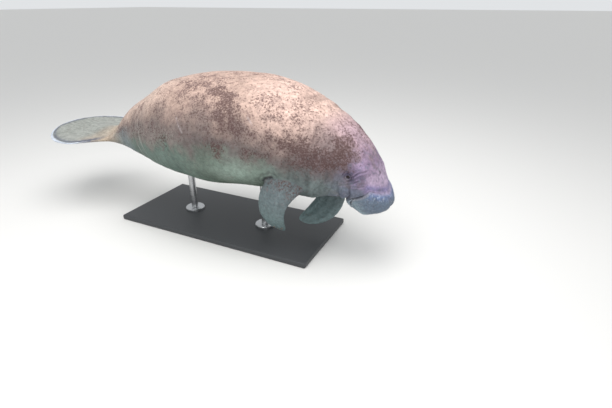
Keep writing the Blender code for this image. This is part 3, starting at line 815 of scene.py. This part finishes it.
def bodyColour(back, side, straight, broad, middling):
    # pale tan above, partly painted light; brown-grey on the flank; green-grey below, partly painted shade;
    # beige on the tail
    wander = side + 13 * broad + 6 * middling
    forward = fading(back, 0.75, 1.35)
    lower = eased(wander + 6 * middling - 10 * forward, 80, 112)
    neck = fading(back + 0.03 * broad, 0.42, 0.70) * eased(side + 6 * middling, 20, 54)
    streaks = np.clip(grain(straight * (1.0, 0.14, 0.14), 0.035, 35) * 2 - 0.5, 0, 1)
    rear = band(back, 1.65, 1.85, 2.15, 2.22) * eased(side, 40, 60)
    hide = layered(
        "top",
        # painted light along the top of the shoulders and the rear back
        ("shoulderTopLit", bell(back - 0.66, 0.24)),
        ("rearTopLit", eased(back, 1.3, 1.7)),
        ("flank", eased(wander - 12 * forward, 36, 82)),
        ("rearFlank", eased(back, 1.15, 1.5) * eased(wander, 62, 84) * 0.8),
        # the belly's darker green-grey is partly painted shade
        ("belly", lower),
        ("rearBelly", lower * eased(back, 1.1, 1.5)),
        # painted light on the belly behind the flipper
        ("frontBellyLit", mound(back, side, (0.95, 120), 0.20, 16) * 0.9),
        ("neck", neck * 0.8),
        ("neck", mound(back, side, (0.35, 54), 0.035, 14) * 0.9),
        ("throat", fading(back, 0.55, 0.85) * eased(wander, 92, 122)),
        ("nape", fading(back + 0.04 * broad, 0.40, 0.56) * fading(side, 26, 54) * 0.8),
        ("paleStreak", streaks * rear * 0.5),
        ("stockSide", eased(back, 1.88, 2.05) * eased(side, 58, 82) * 0.8),
    )
    tail = layered("tail", ("tailRoot", fading(back + 0.08 * broad, 2.18, 2.50)))
    return mixed(hide, tail, eased(back + 0.05 * broad, 2.04, 2.24) * (1 - 0.35 * eased(side, 92, 125)))


def tailRim(back, straight):
    # how far in from the paddle's edge each point is, in metres, and 9 on the rest of the body
    reach = halfWidth(back) * blunt(manatee["length"] - back, manatee["paddleRounding"], 2.1)
    inward = np.minimum(reach - np.abs(straight[:, 1]), (manatee["length"] - back) * 1.2)
    return np.where(back > 2.2, np.maximum(inward, 0), 9.0)


def colourPaddle(hide, back, straight, middling, small):
    # a pale rim with a shaded band inside it, and streaks that run towards the edge
    inward = tailRim(back, straight)
    shaded = bell(inward - 0.034, 0.014) * (0.8 + 0.5 * middling) + 0.25 * fading(inward, 0.03, 0.10)
    shaded += fading(inward, 0.055, 0.105) * bell(back - 2.31, 0.12) * (0.8 + small)
    hide = layered(
        hide,
        ("rimShade", shaded * eased(back, 2.22, 2.34) * 0.7),
        ("paleRimAndGlint", fading(inward + 0.004 * small, 0.013, 0.024) * eased(back, 2.3, 2.45) * 0.95),
    )
    streaks = 0.22 * grain(straight * (0.10, 1, 1), 0.009, 34) * eased(back, 2.1, 2.35)
    return hide * (1 + streaks)[:, None]


def colourFolds(hide, made, small):
    # painted shade along the deep folds, a painted highlight on the ridge beside the mouth, and the old
    # scratches
    back, side = made["back"], made["side"]
    onBody = made["owner"] == 0
    # painted shade where the pad edge, mouth, jaw and armpit folds sink in
    crease = bell(padEdge(side) - back + 0.001, 0.004) * fading(side, 122, 140) * eased(side, 56, 80)
    foldShadeMask = foldLine(back, side, "mouth", 0.005) * (0.3 + 0.4 * eased(side, 112, 128))
    for foldShade in (
        crease * (0.14 + 0.46 * eased(side, 88, 98)),
        foldLine(back, side, "jawCrease", 0.007) * eased(side, 84, 110) * 0.4,
        foldLine(back, side, "armpitFold", 0.012, 0.0, face["bodyGirth"]) * 0.8,
    ):
        foldShadeMask = np.maximum(foldShadeMask, foldShade)
    hide = layered(
        hide,
        # a painted highlight on the ridge beside the mouth
        ("ridgeHighlight", foldLine(back, side, "mouth", 0.0045, 0.012) * onBody * 0.3),
        ("foldShade", foldShadeMask * onBody),
    )
    for line in face["scars"]:
        scratch = bell(wayOff(back, side, line, face["scarGirth"]), 0.0045) * (made["angle"] < 0) * onBody
        hide = layered(hide, ("scarAndRidgeHighlight", scratch * (0.45 + 0.4 * small)))
    return hide


def colourEyeAndNostril(hide, points, hand):
    # painted shade in the hollow round the eye, a painted highlight on its lower lid, and painted shade round
    # the nostril
    local = localTo(points, "eye", hand)
    close = np.abs(local[:, 2])
    away = np.hypot((local[:, 0] - 0.006) / 1.35, local[:, 1])
    lower = eased(local[:, 1] * hand, 0.001, 0.010)  # local Y points down on the left and up on the right
    lidHighlight = bell(np.hypot(local[:, 0] - 0.002, local[:, 1]) - 0.0155, 0.0045) * lower
    _, seat = axesAt(face["nostril"], hand)
    fromNostril = np.linalg.norm(points - shift - np.array(seat), axis=1)
    return layered(
        hide,
        ("eyeHollowShade", fading(away, 0.010, 0.036) * (close < 0.06) * 0.9),
        ("ridgeHighlight", lidHighlight * 0.5 * (close < 0.04)),
        ("foldShade", bell(fromNostril, 0.010) * 0.4),
    )


def colourSkin(skin, made):
    mesh = skin.data
    back, side, straight = made["back"], made["side"], made["straight"]
    onBody = made["owner"] == 0
    broad = grain(straight, 0.14, 31)
    middling = grain(straight, 0.05, 32)
    small = grain(straight, 0.016, 33)
    # painted glints of light on the bristles along the top of the pads
    bristleGlints = np.clip(grain(straight, 0.010, 36) * 3 - 0.5, 0, 1) * bell(padEdge(side) - back - 0.030, 0.022)
    onHead = layered(
        headColour(back, side, broad),
        ("neck", np.clip(middling * 1.6 - 0.1, 0, 0.55) * eased(back, 0.16, 0.26)),
        ("cheek", np.clip(-small * 1.4 - 0.2, 0, 0.4)),
        ("paleRimAndGlint", bristleGlints * fading(side, 70, 95) * 0.5),
    )
    onHead *= (1 + 0.16 * grain(straight, 0.0085, 37))[:, None]
    headShare = fading(back + 0.045 * broad + 0.030 * middling + 0.015 * small, 0.26, 0.42)
    hide = mixed(bodyColour(back, side, straight, broad, middling), onHead, headShare)
    hide = colourPaddle(hide, back, straight, middling, small)
    hide = colourFolds(hide, made, small)
    for hand in hands.values():
        hide = colourEyeAndNostril(hide, readPoints(mesh), hand)
    onFlipper = layered("flipper", ("flipperTip", eased(made["share"], 0.4, 0.9)))
    hide = np.where(onBody[:, None], hide, onFlipper)
    hide *= (1 + 0.08 * broad + 0.08 * middling + 0.07 * small)[:, None]
    # painted shade: darker where the relief sinks in
    hide *= (1 - 0.40 * np.clip(-made["lift"] / 0.006, 0, 1))[:, None]
    # painted highlight: a little paler where the relief stands out
    hide = layered(hide, ("scarAndRidgeHighlight", np.clip(made["lift"] / 0.006, 0, 1) * 0.10))
    algae = algaeCover(back, side, broad, middling) * onBody
    algae += ~onBody * (0.55 * fading(made["share"], 0.3, 0.6))
    addColours(mesh, "hide", np.clip(hide, 0.004, 1))
    mesh.attributes.new("algae", "FLOAT", "POINT").data.foreach_set("value", algae)
    mesh.attributes.new("straight", "FLOAT_VECTOR", "POINT").data.foreach_set("vector", straight.ravel())
    print("skin coloured")
    return hide


# The algae's patches: way back, degrees down the side, reach along and around, and how thick each is
algaePatches = (
    (1.10, 41, 0.060, 8, 0.70),
    (1.02, 58, 0.045, 15, 0.80),
    (0.97, 76, 0.080, 8, 0.40),
    (1.06, 93, 0.045, 12, 0.85),
    (0.88, 97, 0.040, 9, 0.85),
    (0.77, 92, 0.060, 10, 0.65),
    (0.66, 74, 0.110, 8, 0.50),
    (0.62, 92, 0.080, 13, 0.80),
    (0.48, 82, 0.090, 22, 0.90),
    (0.36, 56, 0.050, 22, 0.95),
    (0.43, 30, 0.040, 16, 0.40),
    (1.32, 24, 0.120, 10, 0.35),
    (1.55, 90, 0.250, 12, 0.35),
)


def algaeCover(back, side, broad, middling):
    cover = sum(
        thick * mound(back, side, (b, s), along, around) for b, s, along, around, thick in algaePatches
    )
    clumps = np.clip(0.40 + 0.9 * broad + 1.0 * middling, 0, 1)
    cover = np.clip(cover, 0, 1) * (0.85 + 0.45 * broad + 0.45 * middling)
    cover += (0.27 + 0.42 * clumps) * fading(side, 72, 104)
    return np.clip(cover * eased(back, 0.22, 0.40) * (1 - 0.9 * eased(back, 2.1, 2.3)), 0, 1)


def addColours(mesh, name, colours):
    rgba = np.concatenate([colours, np.ones((len(colours), 1))], 1)
    mesh.attributes.new(name, "FLOAT_COLOR", "POINT").data.foreach_set("color", rgba.ravel())


# The bake's map: the body's unwrap fills its left part, the head's rings stretched, and each flipper a strip
unwrap = {"bodyWide": 0.78, "strip": 0.20, "gap": 0.01, "headStretch": 2.4, "headEnd": 0.42}


def unbroken(turns, anchor):
    # moves each corner by whole turns until it is within half a turn of its face's first corner
    return anchor + (turns - anchor + 0.5) % 1 - 0.5


def mapSkin(mesh, made):
    owners, corners, faces = faceOwners(mesh)
    turns = made["angle"][corners] / math.tau % 1
    firsts = readAll(mesh.polygons, "loop_start", kind=int)
    turns = unbroken(turns, turns[firsts][faces])
    lowest = np.minimum.reduceat(turns, firsts)[faces]
    highest = np.maximum.reduceat(turns, firsts)[faces]
    turns -= np.floor(lowest) * (highest > 1.2)
    length = manatee["length"]
    stretch = unwrap["headStretch"]
    whole = length + unwrap["headEnd"] * (stretch - 1)
    down = made["back"] + np.minimum(made["back"], unwrap["headEnd"]) * (stretch - 1)
    gap = unwrap["gap"]
    bodyU = gap + np.clip(turns, -0.02, 1.02) * (unwrap["bodyWide"] - 2 * gap)
    bodyV = gap + np.clip(down[corners] / whole, 0, 1) * (1 - 2 * gap)
    around = np.arctan2(made["deep"], made["wide"])[corners] / math.tau + 0.5
    around = unbroken(around, around[firsts][faces])
    limbU = unwrap["bodyWide"] + gap + np.clip(around, 0, 1) * (unwrap["strip"] - gap)
    limbV = gap + np.clip(made["share"][corners], 0, 1) * (0.5 - 2 * gap) + 0.5 * (owners[faces] == 2)
    onLimb = owners[faces] > 0
    uv = np.stack([np.where(onLimb, limbU, bodyU), np.where(onLimb, limbV, bodyV)], 1)
    mesh.uv_layers.new(name="OFBake").data.foreach_set("uv", uv.ravel())
    return uv


def setInputs(tree, node, inputs):
    # numbers, colours or other nodes' outputs, by the names or places of the node's inputs
    for key, value in inputs.items():
        socket = node.inputs[key]
        if isinstance(value, bpy.types.NodeSocket):
            tree.links.new(value, socket)
        else:
            socket.default_value = (*value, 1) if socket.type == "RGBA" else value


def addNode(tree, kind, inputs, **settings):
    made = tree.nodes.new("ShaderNode" + kind)
    for name, value in settings.items():
        setattr(made, name, value)
    setInputs(tree, made, inputs)
    return made.outputs


def newMaterial(name):
    material = bpy.data.materials.new(name)
    material.use_nodes = True
    return material, material.node_tree


def finishMaterial(material, inputs):
    tree = material.node_tree
    setInputs(tree, tree.nodes["Principled BSDF"], inputs)
    return material


def painted(tree, name, output="Color"):
    return addNode(tree, "Attribute", {}, attribute_name=name)[output]


def objectPlace(tree):
    return addNode(tree, "TexCoord", {})["Object"]


def noiseNode(tree, vector, scale, detail, roughness=0.55):
    inputs = {"Vector": vector, "Scale": scale, "Detail": detail, "Roughness": roughness}
    return addNode(tree, "TexNoise", inputs)["Fac"]


def rangeNode(tree, value, fromLow, fromHigh, toLow, toHigh):
    inputs = {0: value, 1: fromLow, 2: fromHigh, 3: toLow, 4: toHigh}
    return addNode(tree, "MapRange", inputs, interpolation_type="SMOOTHSTEP")[0]


def evenNoise(tree, vector, scale, detail, low, high, roughness=0.55):
    # noise whose middle part is stretched to fill low to high
    return rangeNode(tree, noiseNode(tree, vector, scale, detail, roughness), 0.3, 0.7, low, high)


def mathNode(tree, operation, first, second):
    return addNode(tree, "Math", {0: first, 1: second}, operation=operation)[0]


def mixNode(tree, blend, amount, first, second):
    return addNode(tree, "Mix", {0: amount, 6: first, 7: second}, data_type="RGBA", blend_type=blend)[2]


def bumpNode(tree, height, distance, strength, normal=None):
    inputs = {"Height": height, "Distance": distance, "Strength": strength}
    if normal is not None:
        inputs["Normal"] = normal
    return addNode(tree, "Bump", inputs)["Normal"]


# The hide's pattern. Each layer has the scale, detail and roughness of its noise, what the algae adds to it,
# where it starts and is full, and its strength there.
hidePattern = {
    "specks": {"noise": (96, 5, 0.68), "algae": 0.21, "range": (0.605, 0.735), "strength": 0.80},
    "patches": {"noise": (30, 6, 0.70), "algae": 0.24, "range": (0.54, 0.84), "strength": 0.68},
    "flecks": {"noise": (130, 5, 0.70), "range": (0.50, 0.66), "strength": 0.40},
    "fleckTint": (0.50, 0.42, 0.40),
    "netScale": 230,
    # how much painted shade the net's lines lay on the colour
    "netGrooveShade": 0.22,
    "bend": 0.006,  # how far the net's cells are pulled out of shape
    "bendScale": 120,
}


def patternNode(tree, straight, name, algae=None):
    layer = hidePattern[name]
    amount = noiseNode(tree, straight, *layer["noise"])
    if algae is not None:
        amount = mathNode(tree, "ADD", amount, mathNode(tree, "MULTIPLY", algae, layer["algae"]))
    return rangeNode(tree, amount, *layer["range"], 0.0, layer["strength"])


def wrinkleNet(tree, straight):
    # 0 on the lines between cells that a noise pulls out of shape, 1 inside them
    inputs = {"Vector": straight, "Scale": hidePattern["bendScale"], "Detail": 2}
    pull = addNode(tree, "TexNoise", inputs)["Color"]
    bent = addNode(tree, "Mix", {0: hidePattern["bend"], 4: straight, 5: pull}, data_type="VECTOR")[1]
    inputs = {"Vector": bent, "Scale": hidePattern["netScale"]}
    cells = addNode(tree, "TexVoronoi", inputs, feature="DISTANCE_TO_EDGE")["Distance"]
    return rangeNode(tree, cells, 0.0, 0.34, 0.0, 1.0)


def hideMaterial():
    # the vertex colours, with dark algae specks, pale flecks, pores and a fine net of wrinkles over them,
    # with painted shade in the wrinkles' lines
    material, tree = newMaterial("manateeHide")
    algae = painted(tree, "algae", "Fac")
    straight = painted(tree, "straight", "Vector")
    specks = patternNode(tree, straight, "specks", algae)
    patches = patternNode(tree, straight, "patches", algae)
    flecks = patternNode(tree, straight, "flecks")
    net = wrinkleNet(tree, straight)
    mottle = evenNoise(tree, straight, 42, 6, 0.80, 1.16, 0.65)
    colour = mixNode(tree, "MULTIPLY", 1.0, painted(tree, "hide"), mottle)
    # painted shade: the colour darkens along the net's lines, the wrinkles' grooves
    lines = rangeNode(tree, net, 0.0, 1.0, 0.60, 1.10)
    colour = mixNode(tree, "MULTIPLY", hidePattern["netGrooveShade"], colour, lines)
    paler = mixNode(tree, "MULTIPLY", 1.0, colour, hidePattern["fleckTint"])
    colour = mixNode(tree, "SCREEN", flecks, colour, paler)
    colour = mixNode(tree, "MIX", patches, colour, hideColours["patch"])
    colour = mixNode(tree, "MIX", specks, colour, hideColours["algae"])
    normal = bumpNode(tree, noiseNode(tree, straight, 420, 3, 0.6), 0.0006, 0.5)
    normal = bumpNode(tree, net, 0.0007, 0.40, normal)
    normal = bumpNode(tree, noiseNode(tree, straight, 60, 4), 0.0030, 0.5, normal)
    normal = bumpNode(tree, specks, 0.0018, 0.7, normal)
    rough = rangeNode(tree, specks, 0.0, 0.8, 0.56, 0.86)
    inputs = {"Base Color": colour, "Normal": normal, "Roughness": rough, "Specular IOR Level": 0.35}
    return finishMaterial(material, inputs)


def finishSkin(skin, made, marks):
    mesh = skin.data
    uv = mapSkin(mesh, made)
    material = hideMaterial()
    mesh.polygons.foreach_set("material_index", np.zeros(len(mesh.polygons), int))
    mesh.materials.clear()
    mesh.materials.append(material)
    for mark in marks:
        bpy.data.materials.remove(mark)
    mesh.shade_smooth()
    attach(skin, "root")
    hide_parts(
        "muzzle", "head", "neck", "chest", "belly", "loin", "tail_stock", "tail_paddle",
        "flipper_left", "flipper_right",
    )
    return uv


# The eye: how far its front bulges, its colours, and the angles from its axis, in radians, between which
# one colour gives way to the next
eye = {
    "bulge": 0.06,
    "pupil": (0.004, 0.003, 0.004),
    "iris": (0.016, 0.009, 0.007),
    "white": (0.030, 0.022, 0.024),
    "pupilEdge": (0.26, 0.36),
    "irisEdge": (0.66, 0.80),
    "segments": 48,
    "rings": 32,
}


def eyeMaterial():
    material, tree = newMaterial("wetEye")
    threads = evenNoise(tree, objectPlace(tree), 900, 3, 0.7, 1.25)
    colour = mixNode(tree, "MULTIPLY", 1.0, painted(tree, "tint"), threads)
    return finishMaterial(material, {"Base Color": colour, "Roughness": 0.16, "Specular IOR Level": 0.30})


def makeEye(side, material):
    # a ball with a clear bulge in front, its pupil, iris and white painted by the angle from its axis
    turn, seat = eyeSeats[side]
    mesh = bpy.data.meshes.new("eyeball")
    work = bmesh.new()
    bmesh.ops.create_uvsphere(
        work, u_segments=eye["segments"], v_segments=eye["rings"], radius=face["eyeRadius"]
    )
    for vertex in work.verts:
        vertex.co *= 1 + eye["bulge"] * max(vertex.co.normalized().z, 0) ** 6
    work.to_mesh(mesh)
    work.free()
    points = readPoints(mesh)
    offAxis = np.arccos(np.clip(points[:, 2] / np.linalg.norm(points, axis=1), -1, 1))
    tint = mixed(np.array([eye["pupil"]]), eye["iris"], eased(offAxis, *eye["pupilEdge"]))
    addColours(mesh, "tint", mixed(tint, eye["white"], eased(offAxis, *eye["irisEdge"])))
    mesh.transform(Matrix.Translation(seat + Vector(shift)) @ turn.to_4x4())
    piece = smoothPiece("eye" + side.capitalize(), mesh, material)
    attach(piece, "root")
    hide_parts("eye_" + side)


nails = {
    "count": 4,
    "long": 0.011,
    "wide": 0.0075,
    "thick": 0.0030,
    "apart": 21,  # degrees round the flipper's tip
    "reach": 0.955,  # how far out the outermost one sits, as a share of the flipper's length
    "stagger": 0.022,
    "outermost": 1.2,
    "dark": (0.11, 0.10, 0.09),
    "pale": (0.22, 0.20, 0.18),
}


def nailMaterial():
    material, tree = newMaterial("nailHorn")
    streaks = evenNoise(tree, objectPlace(tree), 380, 4, 0.0, 1.0)
    colour = mixNode(tree, "MIX", streaks, nails["dark"], nails["pale"])
    normal = bumpNode(tree, streaks, 0.0004, 0.5)
    return finishMaterial(material, {"Base Color": colour, "Normal": normal, "Roughness": 0.38})


def makeNails(side, frames, material):
    # flat nails on the flipper's tip, half sunk in its outer face
    work = bmesh.new()
    for number in range(nails["count"]):
        share = nails["reach"] - nails["stagger"] * abs(number - nails["outermost"])
        angle = math.radians(90 + (number - (nails["count"] - 1) / 2) * nails["apart"])
        point, near, beside = (
            Vector(limbPoint(frames, share + inward, angle + around) + shift)
            for inward, around in ((0, 0), (-0.03, 0), (0, 0.1))
        )
        x = (point - near).normalized()
        z = x.cross(beside - point).normalized()
        turn = Matrix((x, z.cross(x), z)).transposed().to_4x4()
        ball = bmesh.ops.create_uvsphere(work, u_segments=28, v_segments=16, radius=1)["verts"]
        for vertex in ball:
            vertex.co.z -= 0.35 * vertex.co.x**2 + 0.25 * vertex.co.y**2
            vertex.co.x *= 1.0 - 0.18 * abs(vertex.co.y)
        bmesh.ops.scale(work, vec=(nails["long"], nails["wide"], nails["thick"]), verts=ball)
        bmesh.ops.transform(work, matrix=Matrix.Translation(point) @ turn, verts=ball)
    mesh = bpy.data.meshes.new("nails")
    work.to_mesh(mesh)
    work.free()
    piece = smoothPiece("nails" + side.capitalize(), mesh, material)
    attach(piece, "root")


# The hairs: stiff bristles on the lips, and fine single hairs far apart on the body
bristles = {
    "count": 1100,
    "length": (0.003, 0.008),
    "radius": 0.00045,
    "lean": 0.5,
    "colour": paint(186, 180, 176),
    "seed": 7,
}
bodyHairs = {
    "count": 2400,
    "length": (0.009, 0.018),
    "radius": 0.00020,
    "lean": 1.1,
    "colour": paint(150, 132, 116),
    "seed": 8,
}
# Each hair is three rings of three points: how far along it they lie, how thick they are and how far bent
hairRings = ((-0.08, 1.0, 0.0), (0.5, 0.75, 0.32), (1.0, 0.12, 1.0))
hairPatch = 0.0015  # how wide each ring's place is on the map for the bake
patchStep = 0.0007  # and how far the next ring's place is from it


def hairMaterial(name, colour):
    material, tree = newMaterial(name)
    blend = evenNoise(tree, objectPlace(tree), 160, 2, 0.25, 0.75)
    colour = mixNode(tree, "MIX", blend, painted(tree, "hide"), colour)
    return finishMaterial(material, {"Base Color": colour, "Roughness": 0.5})


def growHairs(name, skin, uv, hide, density, settings):
    # thin bent cones rooted on the skin's faces, more of them where density is higher
    polygons = skin.data.polygons
    centres = readAll(polygons, "center", 3)
    areas = readAll(polygons, "area")
    firsts = readAll(polygons, "loop_start", kind=int)
    _, corners, _ = faceOwners(skin.data)
    weights = areas * density[corners[firsts]]
    pick = np.random.default_rng(settings["seed"])
    count = settings["count"]
    chosen = pick.choice(len(polygons), count, replace=False, p=weights / weights.sum())
    roots = centres[chosen] + pick.normal(0, 0.3, (count, 3)) * np.sqrt(areas[chosen])[:, None]
    outward = readAll(polygons, "normal", 3)[chosen]
    roots -= outward * ((roots - centres[chosen]) * outward).sum(1, keepdims=True)
    backward = np.array([-1.0, 0, 0.1]) + pick.normal(0, 0.25, (count, 3))
    backward -= outward * (backward * outward).sum(1, keepdims=True)
    backward /= np.linalg.norm(backward, axis=1, keepdims=True)
    sideways = np.cross(outward, backward)
    long = pick.uniform(*settings["length"], count)[:, None]
    points = []
    for share, thin, bend in hairRings:
        middle = roots + outward * long * share * (1 - 0.25 * bend * settings["lean"])
        middle = middle + backward * long * bend * settings["lean"]
        for turn in (0, math.tau / 3, 2 * math.tau / 3):
            aside = backward * math.cos(turn) + sideways * math.sin(turn)
            points.append(middle + aside * settings["radius"] * thin)
    size = len(points)
    sides = [(r + k, r + (k + 1) % 3, r + 3 + (k + 1) % 3, r + 3 + k) for r in (0, 3) for k in range(3)]
    starts = np.arange(count)[:, None, None] * size
    faces = (np.array(sides) + starts).reshape(-1, 4).tolist()
    faces += (np.array([[6, 7, 8]]) + starts[:, 0]).tolist()
    made = bpy.data.meshes.new(name)
    made.from_pydata(np.stack(points, 1).reshape(-1, 3).tolist(), [], faces)
    addColours(made, "hide", np.repeat(hide[corners[firsts[chosen]]], size, 0))
    patch = np.array([(0, 0), (hairPatch, 0), (0, hairPatch)] * 3)
    patch = patch + patchStep * (np.arange(size)[:, None] // 3)
    spots = (uv[firsts[chosen]][:, None] + patch[None]).reshape(-1, 2)
    loops = readAll(made.loops, "vertex_index", kind=int)
    made.uv_layers.new(name="OFBake").data.foreach_set("uv", spots[loops].ravel())
    piece = smoothPiece(name, made, hairMaterial(name + "Hair", settings["colour"]))
    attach(piece, "root")


def growCoat(skin, made, uv, hide):
    back = made["back"]
    side = made["side"]
    onBody = made["owner"] == 0
    beforeEdge = padEdge(side) - back
    lips = eased(beforeEdge, 0.002, 0.012) * fading(side, 120, 135)
    chin = band(back, 0.03, 0.06, 0.13, 0.16) * eased(side, 140, 155)
    growHairs("lipBristles", skin, uv, hide, (lips + 0.5 * chin) * onBody + 1e-9, bristles)
    spread = eased(back, 0.12, 0.3) * onBody * (1 - 0.85 * eased(back, 2.2, 2.3))
    growHairs("bodyHairs", skin, uv, hide, spread + 1e-9, bodyHairs)
    print("hairs grown")


stand = {"charcoal": (0.050, 0.053, 0.057), "steel": (0.50, 0.51, 0.52), "brushing": (1, 1, 60)}


def coatMaterial():
    material, tree = newMaterial("powderCoat")
    peel = noiseNode(tree, objectPlace(tree), 900, 2)
    colour = mixNode(tree, "MULTIPLY", 0.25, stand["charcoal"], rangeNode(tree, peel, 0.3, 0.7, 0.6, 1.3))
    normal = bumpNode(tree, peel, 0.0003, 0.4)
    inputs = {"Base Color": colour, "Normal": normal, "Roughness": 0.5, "Metallic": 0.1}
    return finishMaterial(material, inputs)


def steelMaterial():
    material, tree = newMaterial("brushedSteel")
    inputs = {"Vector": objectPlace(tree), "Scale": stand["brushing"]}
    squashed = addNode(tree, "Mapping", inputs, vector_type="POINT")["Vector"]
    lines = noiseNode(tree, squashed, 24, 3)
    colour = mixNode(tree, "MULTIPLY", 0.35, stand["steel"], rangeNode(tree, lines, 0.3, 0.7, 0.7, 1.2))
    rough = rangeNode(tree, lines, 0.3, 0.7, 0.24, 0.42)
    normal = bumpNode(tree, lines, 0.0002, 0.3)
    inputs = {"Base Color": colour, "Normal": normal, "Roughness": rough, "Metallic": 1.0}
    return finishMaterial(material, inputs)


def finishStand():
    coat = coatMaterial()
    steel = steelMaterial()
    for node, material in (("stand_base", coat), ("stand_rod_front", steel), ("stand_rod_rear", steel)):
        for slot in bpy.data.objects[node].material_slots:
            slot.material = material
    print("stand finished")


studio = {
    "floorColour": (0.74, 0.73, 0.71),
    "floorSize": 160,
    "skyColour": (0.86, 0.88, 0.90),
    "skyStrength": 0.88,
    "lamps": {  # where each one hangs, its power and its size
        "keyLight": ((0.5, -0.5, 3.6), 128, 3.4),
        "fillLight": ((2.8, -3.6, 1.8), 34, 2.5),
    },
    "lampAim": (0, 0, 0.7),
    # where the camera stands, from the middle of the body, and how it looks
    "cameraSpot": (1.677, -2.240, 0.765),
    "heading": 25.67,
    "pitchDown": 25.85,
    "lens": 24.75,
    "sensor": 36,
}


def setStudio():
    bpy.ops.mesh.primitive_plane_add(size=studio["floorSize"], location=(0, 0, 0))
    floor = bpy.context.object
    floor.name = "floor"
    material, _ = newMaterial("paleFloor")
    finishMaterial(material, {"Base Color": studio["floorColour"], "Roughness": 0.9})
    floor.data.materials.append(material)
    world = bpy.data.worlds.new("studioWorld")
    world.use_nodes = True
    sky = {"Color": studio["skyColour"], "Strength": studio["skyStrength"]}
    setInputs(world.node_tree, world.node_tree.nodes["Background"], sky)
    bpy.context.scene.world = world
    for name, (spot, power, size) in studio["lamps"].items():
        lamp = bpy.data.lights.new(name, "AREA")
        lamp.energy = power
        lamp.size = size
        holder = addPiece(name, lamp)
        holder.location = spot
        aim = Vector(studio["lampAim"]) - Vector(spot)
        holder.rotation_euler = aim.to_track_quat("-Z", "Y").to_euler()


def setCamera():
    lens = bpy.data.cameras.new("photoCamera")
    lens.lens = studio["lens"]
    lens.sensor_width = studio["sensor"]
    camera = addPiece("photoCamera", lens)
    camera.location = Vector(studio["cameraSpot"]) + Vector(shift)
    camera.rotation_euler = (math.radians(90 - studio["pitchDown"]), 0, math.radians(studio["heading"]))
    bpy.context.scene.camera = camera
    bpy.context.scene.view_settings.view_transform = "Standard"
    print("studio and camera set")


skin, frames, marks = shapeSkin()
made = detailSkin(skin, frames)
hide = colourSkin(skin, made)
skinUv = finishSkin(skin, made, marks)
wetEye = eyeMaterial()
horn = nailMaterial()
for side in hands:
    makeEye(side, wetEye)
    makeNails(side, frames[side], horn)
print("eyes and nails made")
growCoat(skin, made, skinUv, hide)
finishStand()
setStudio()
setCamera()
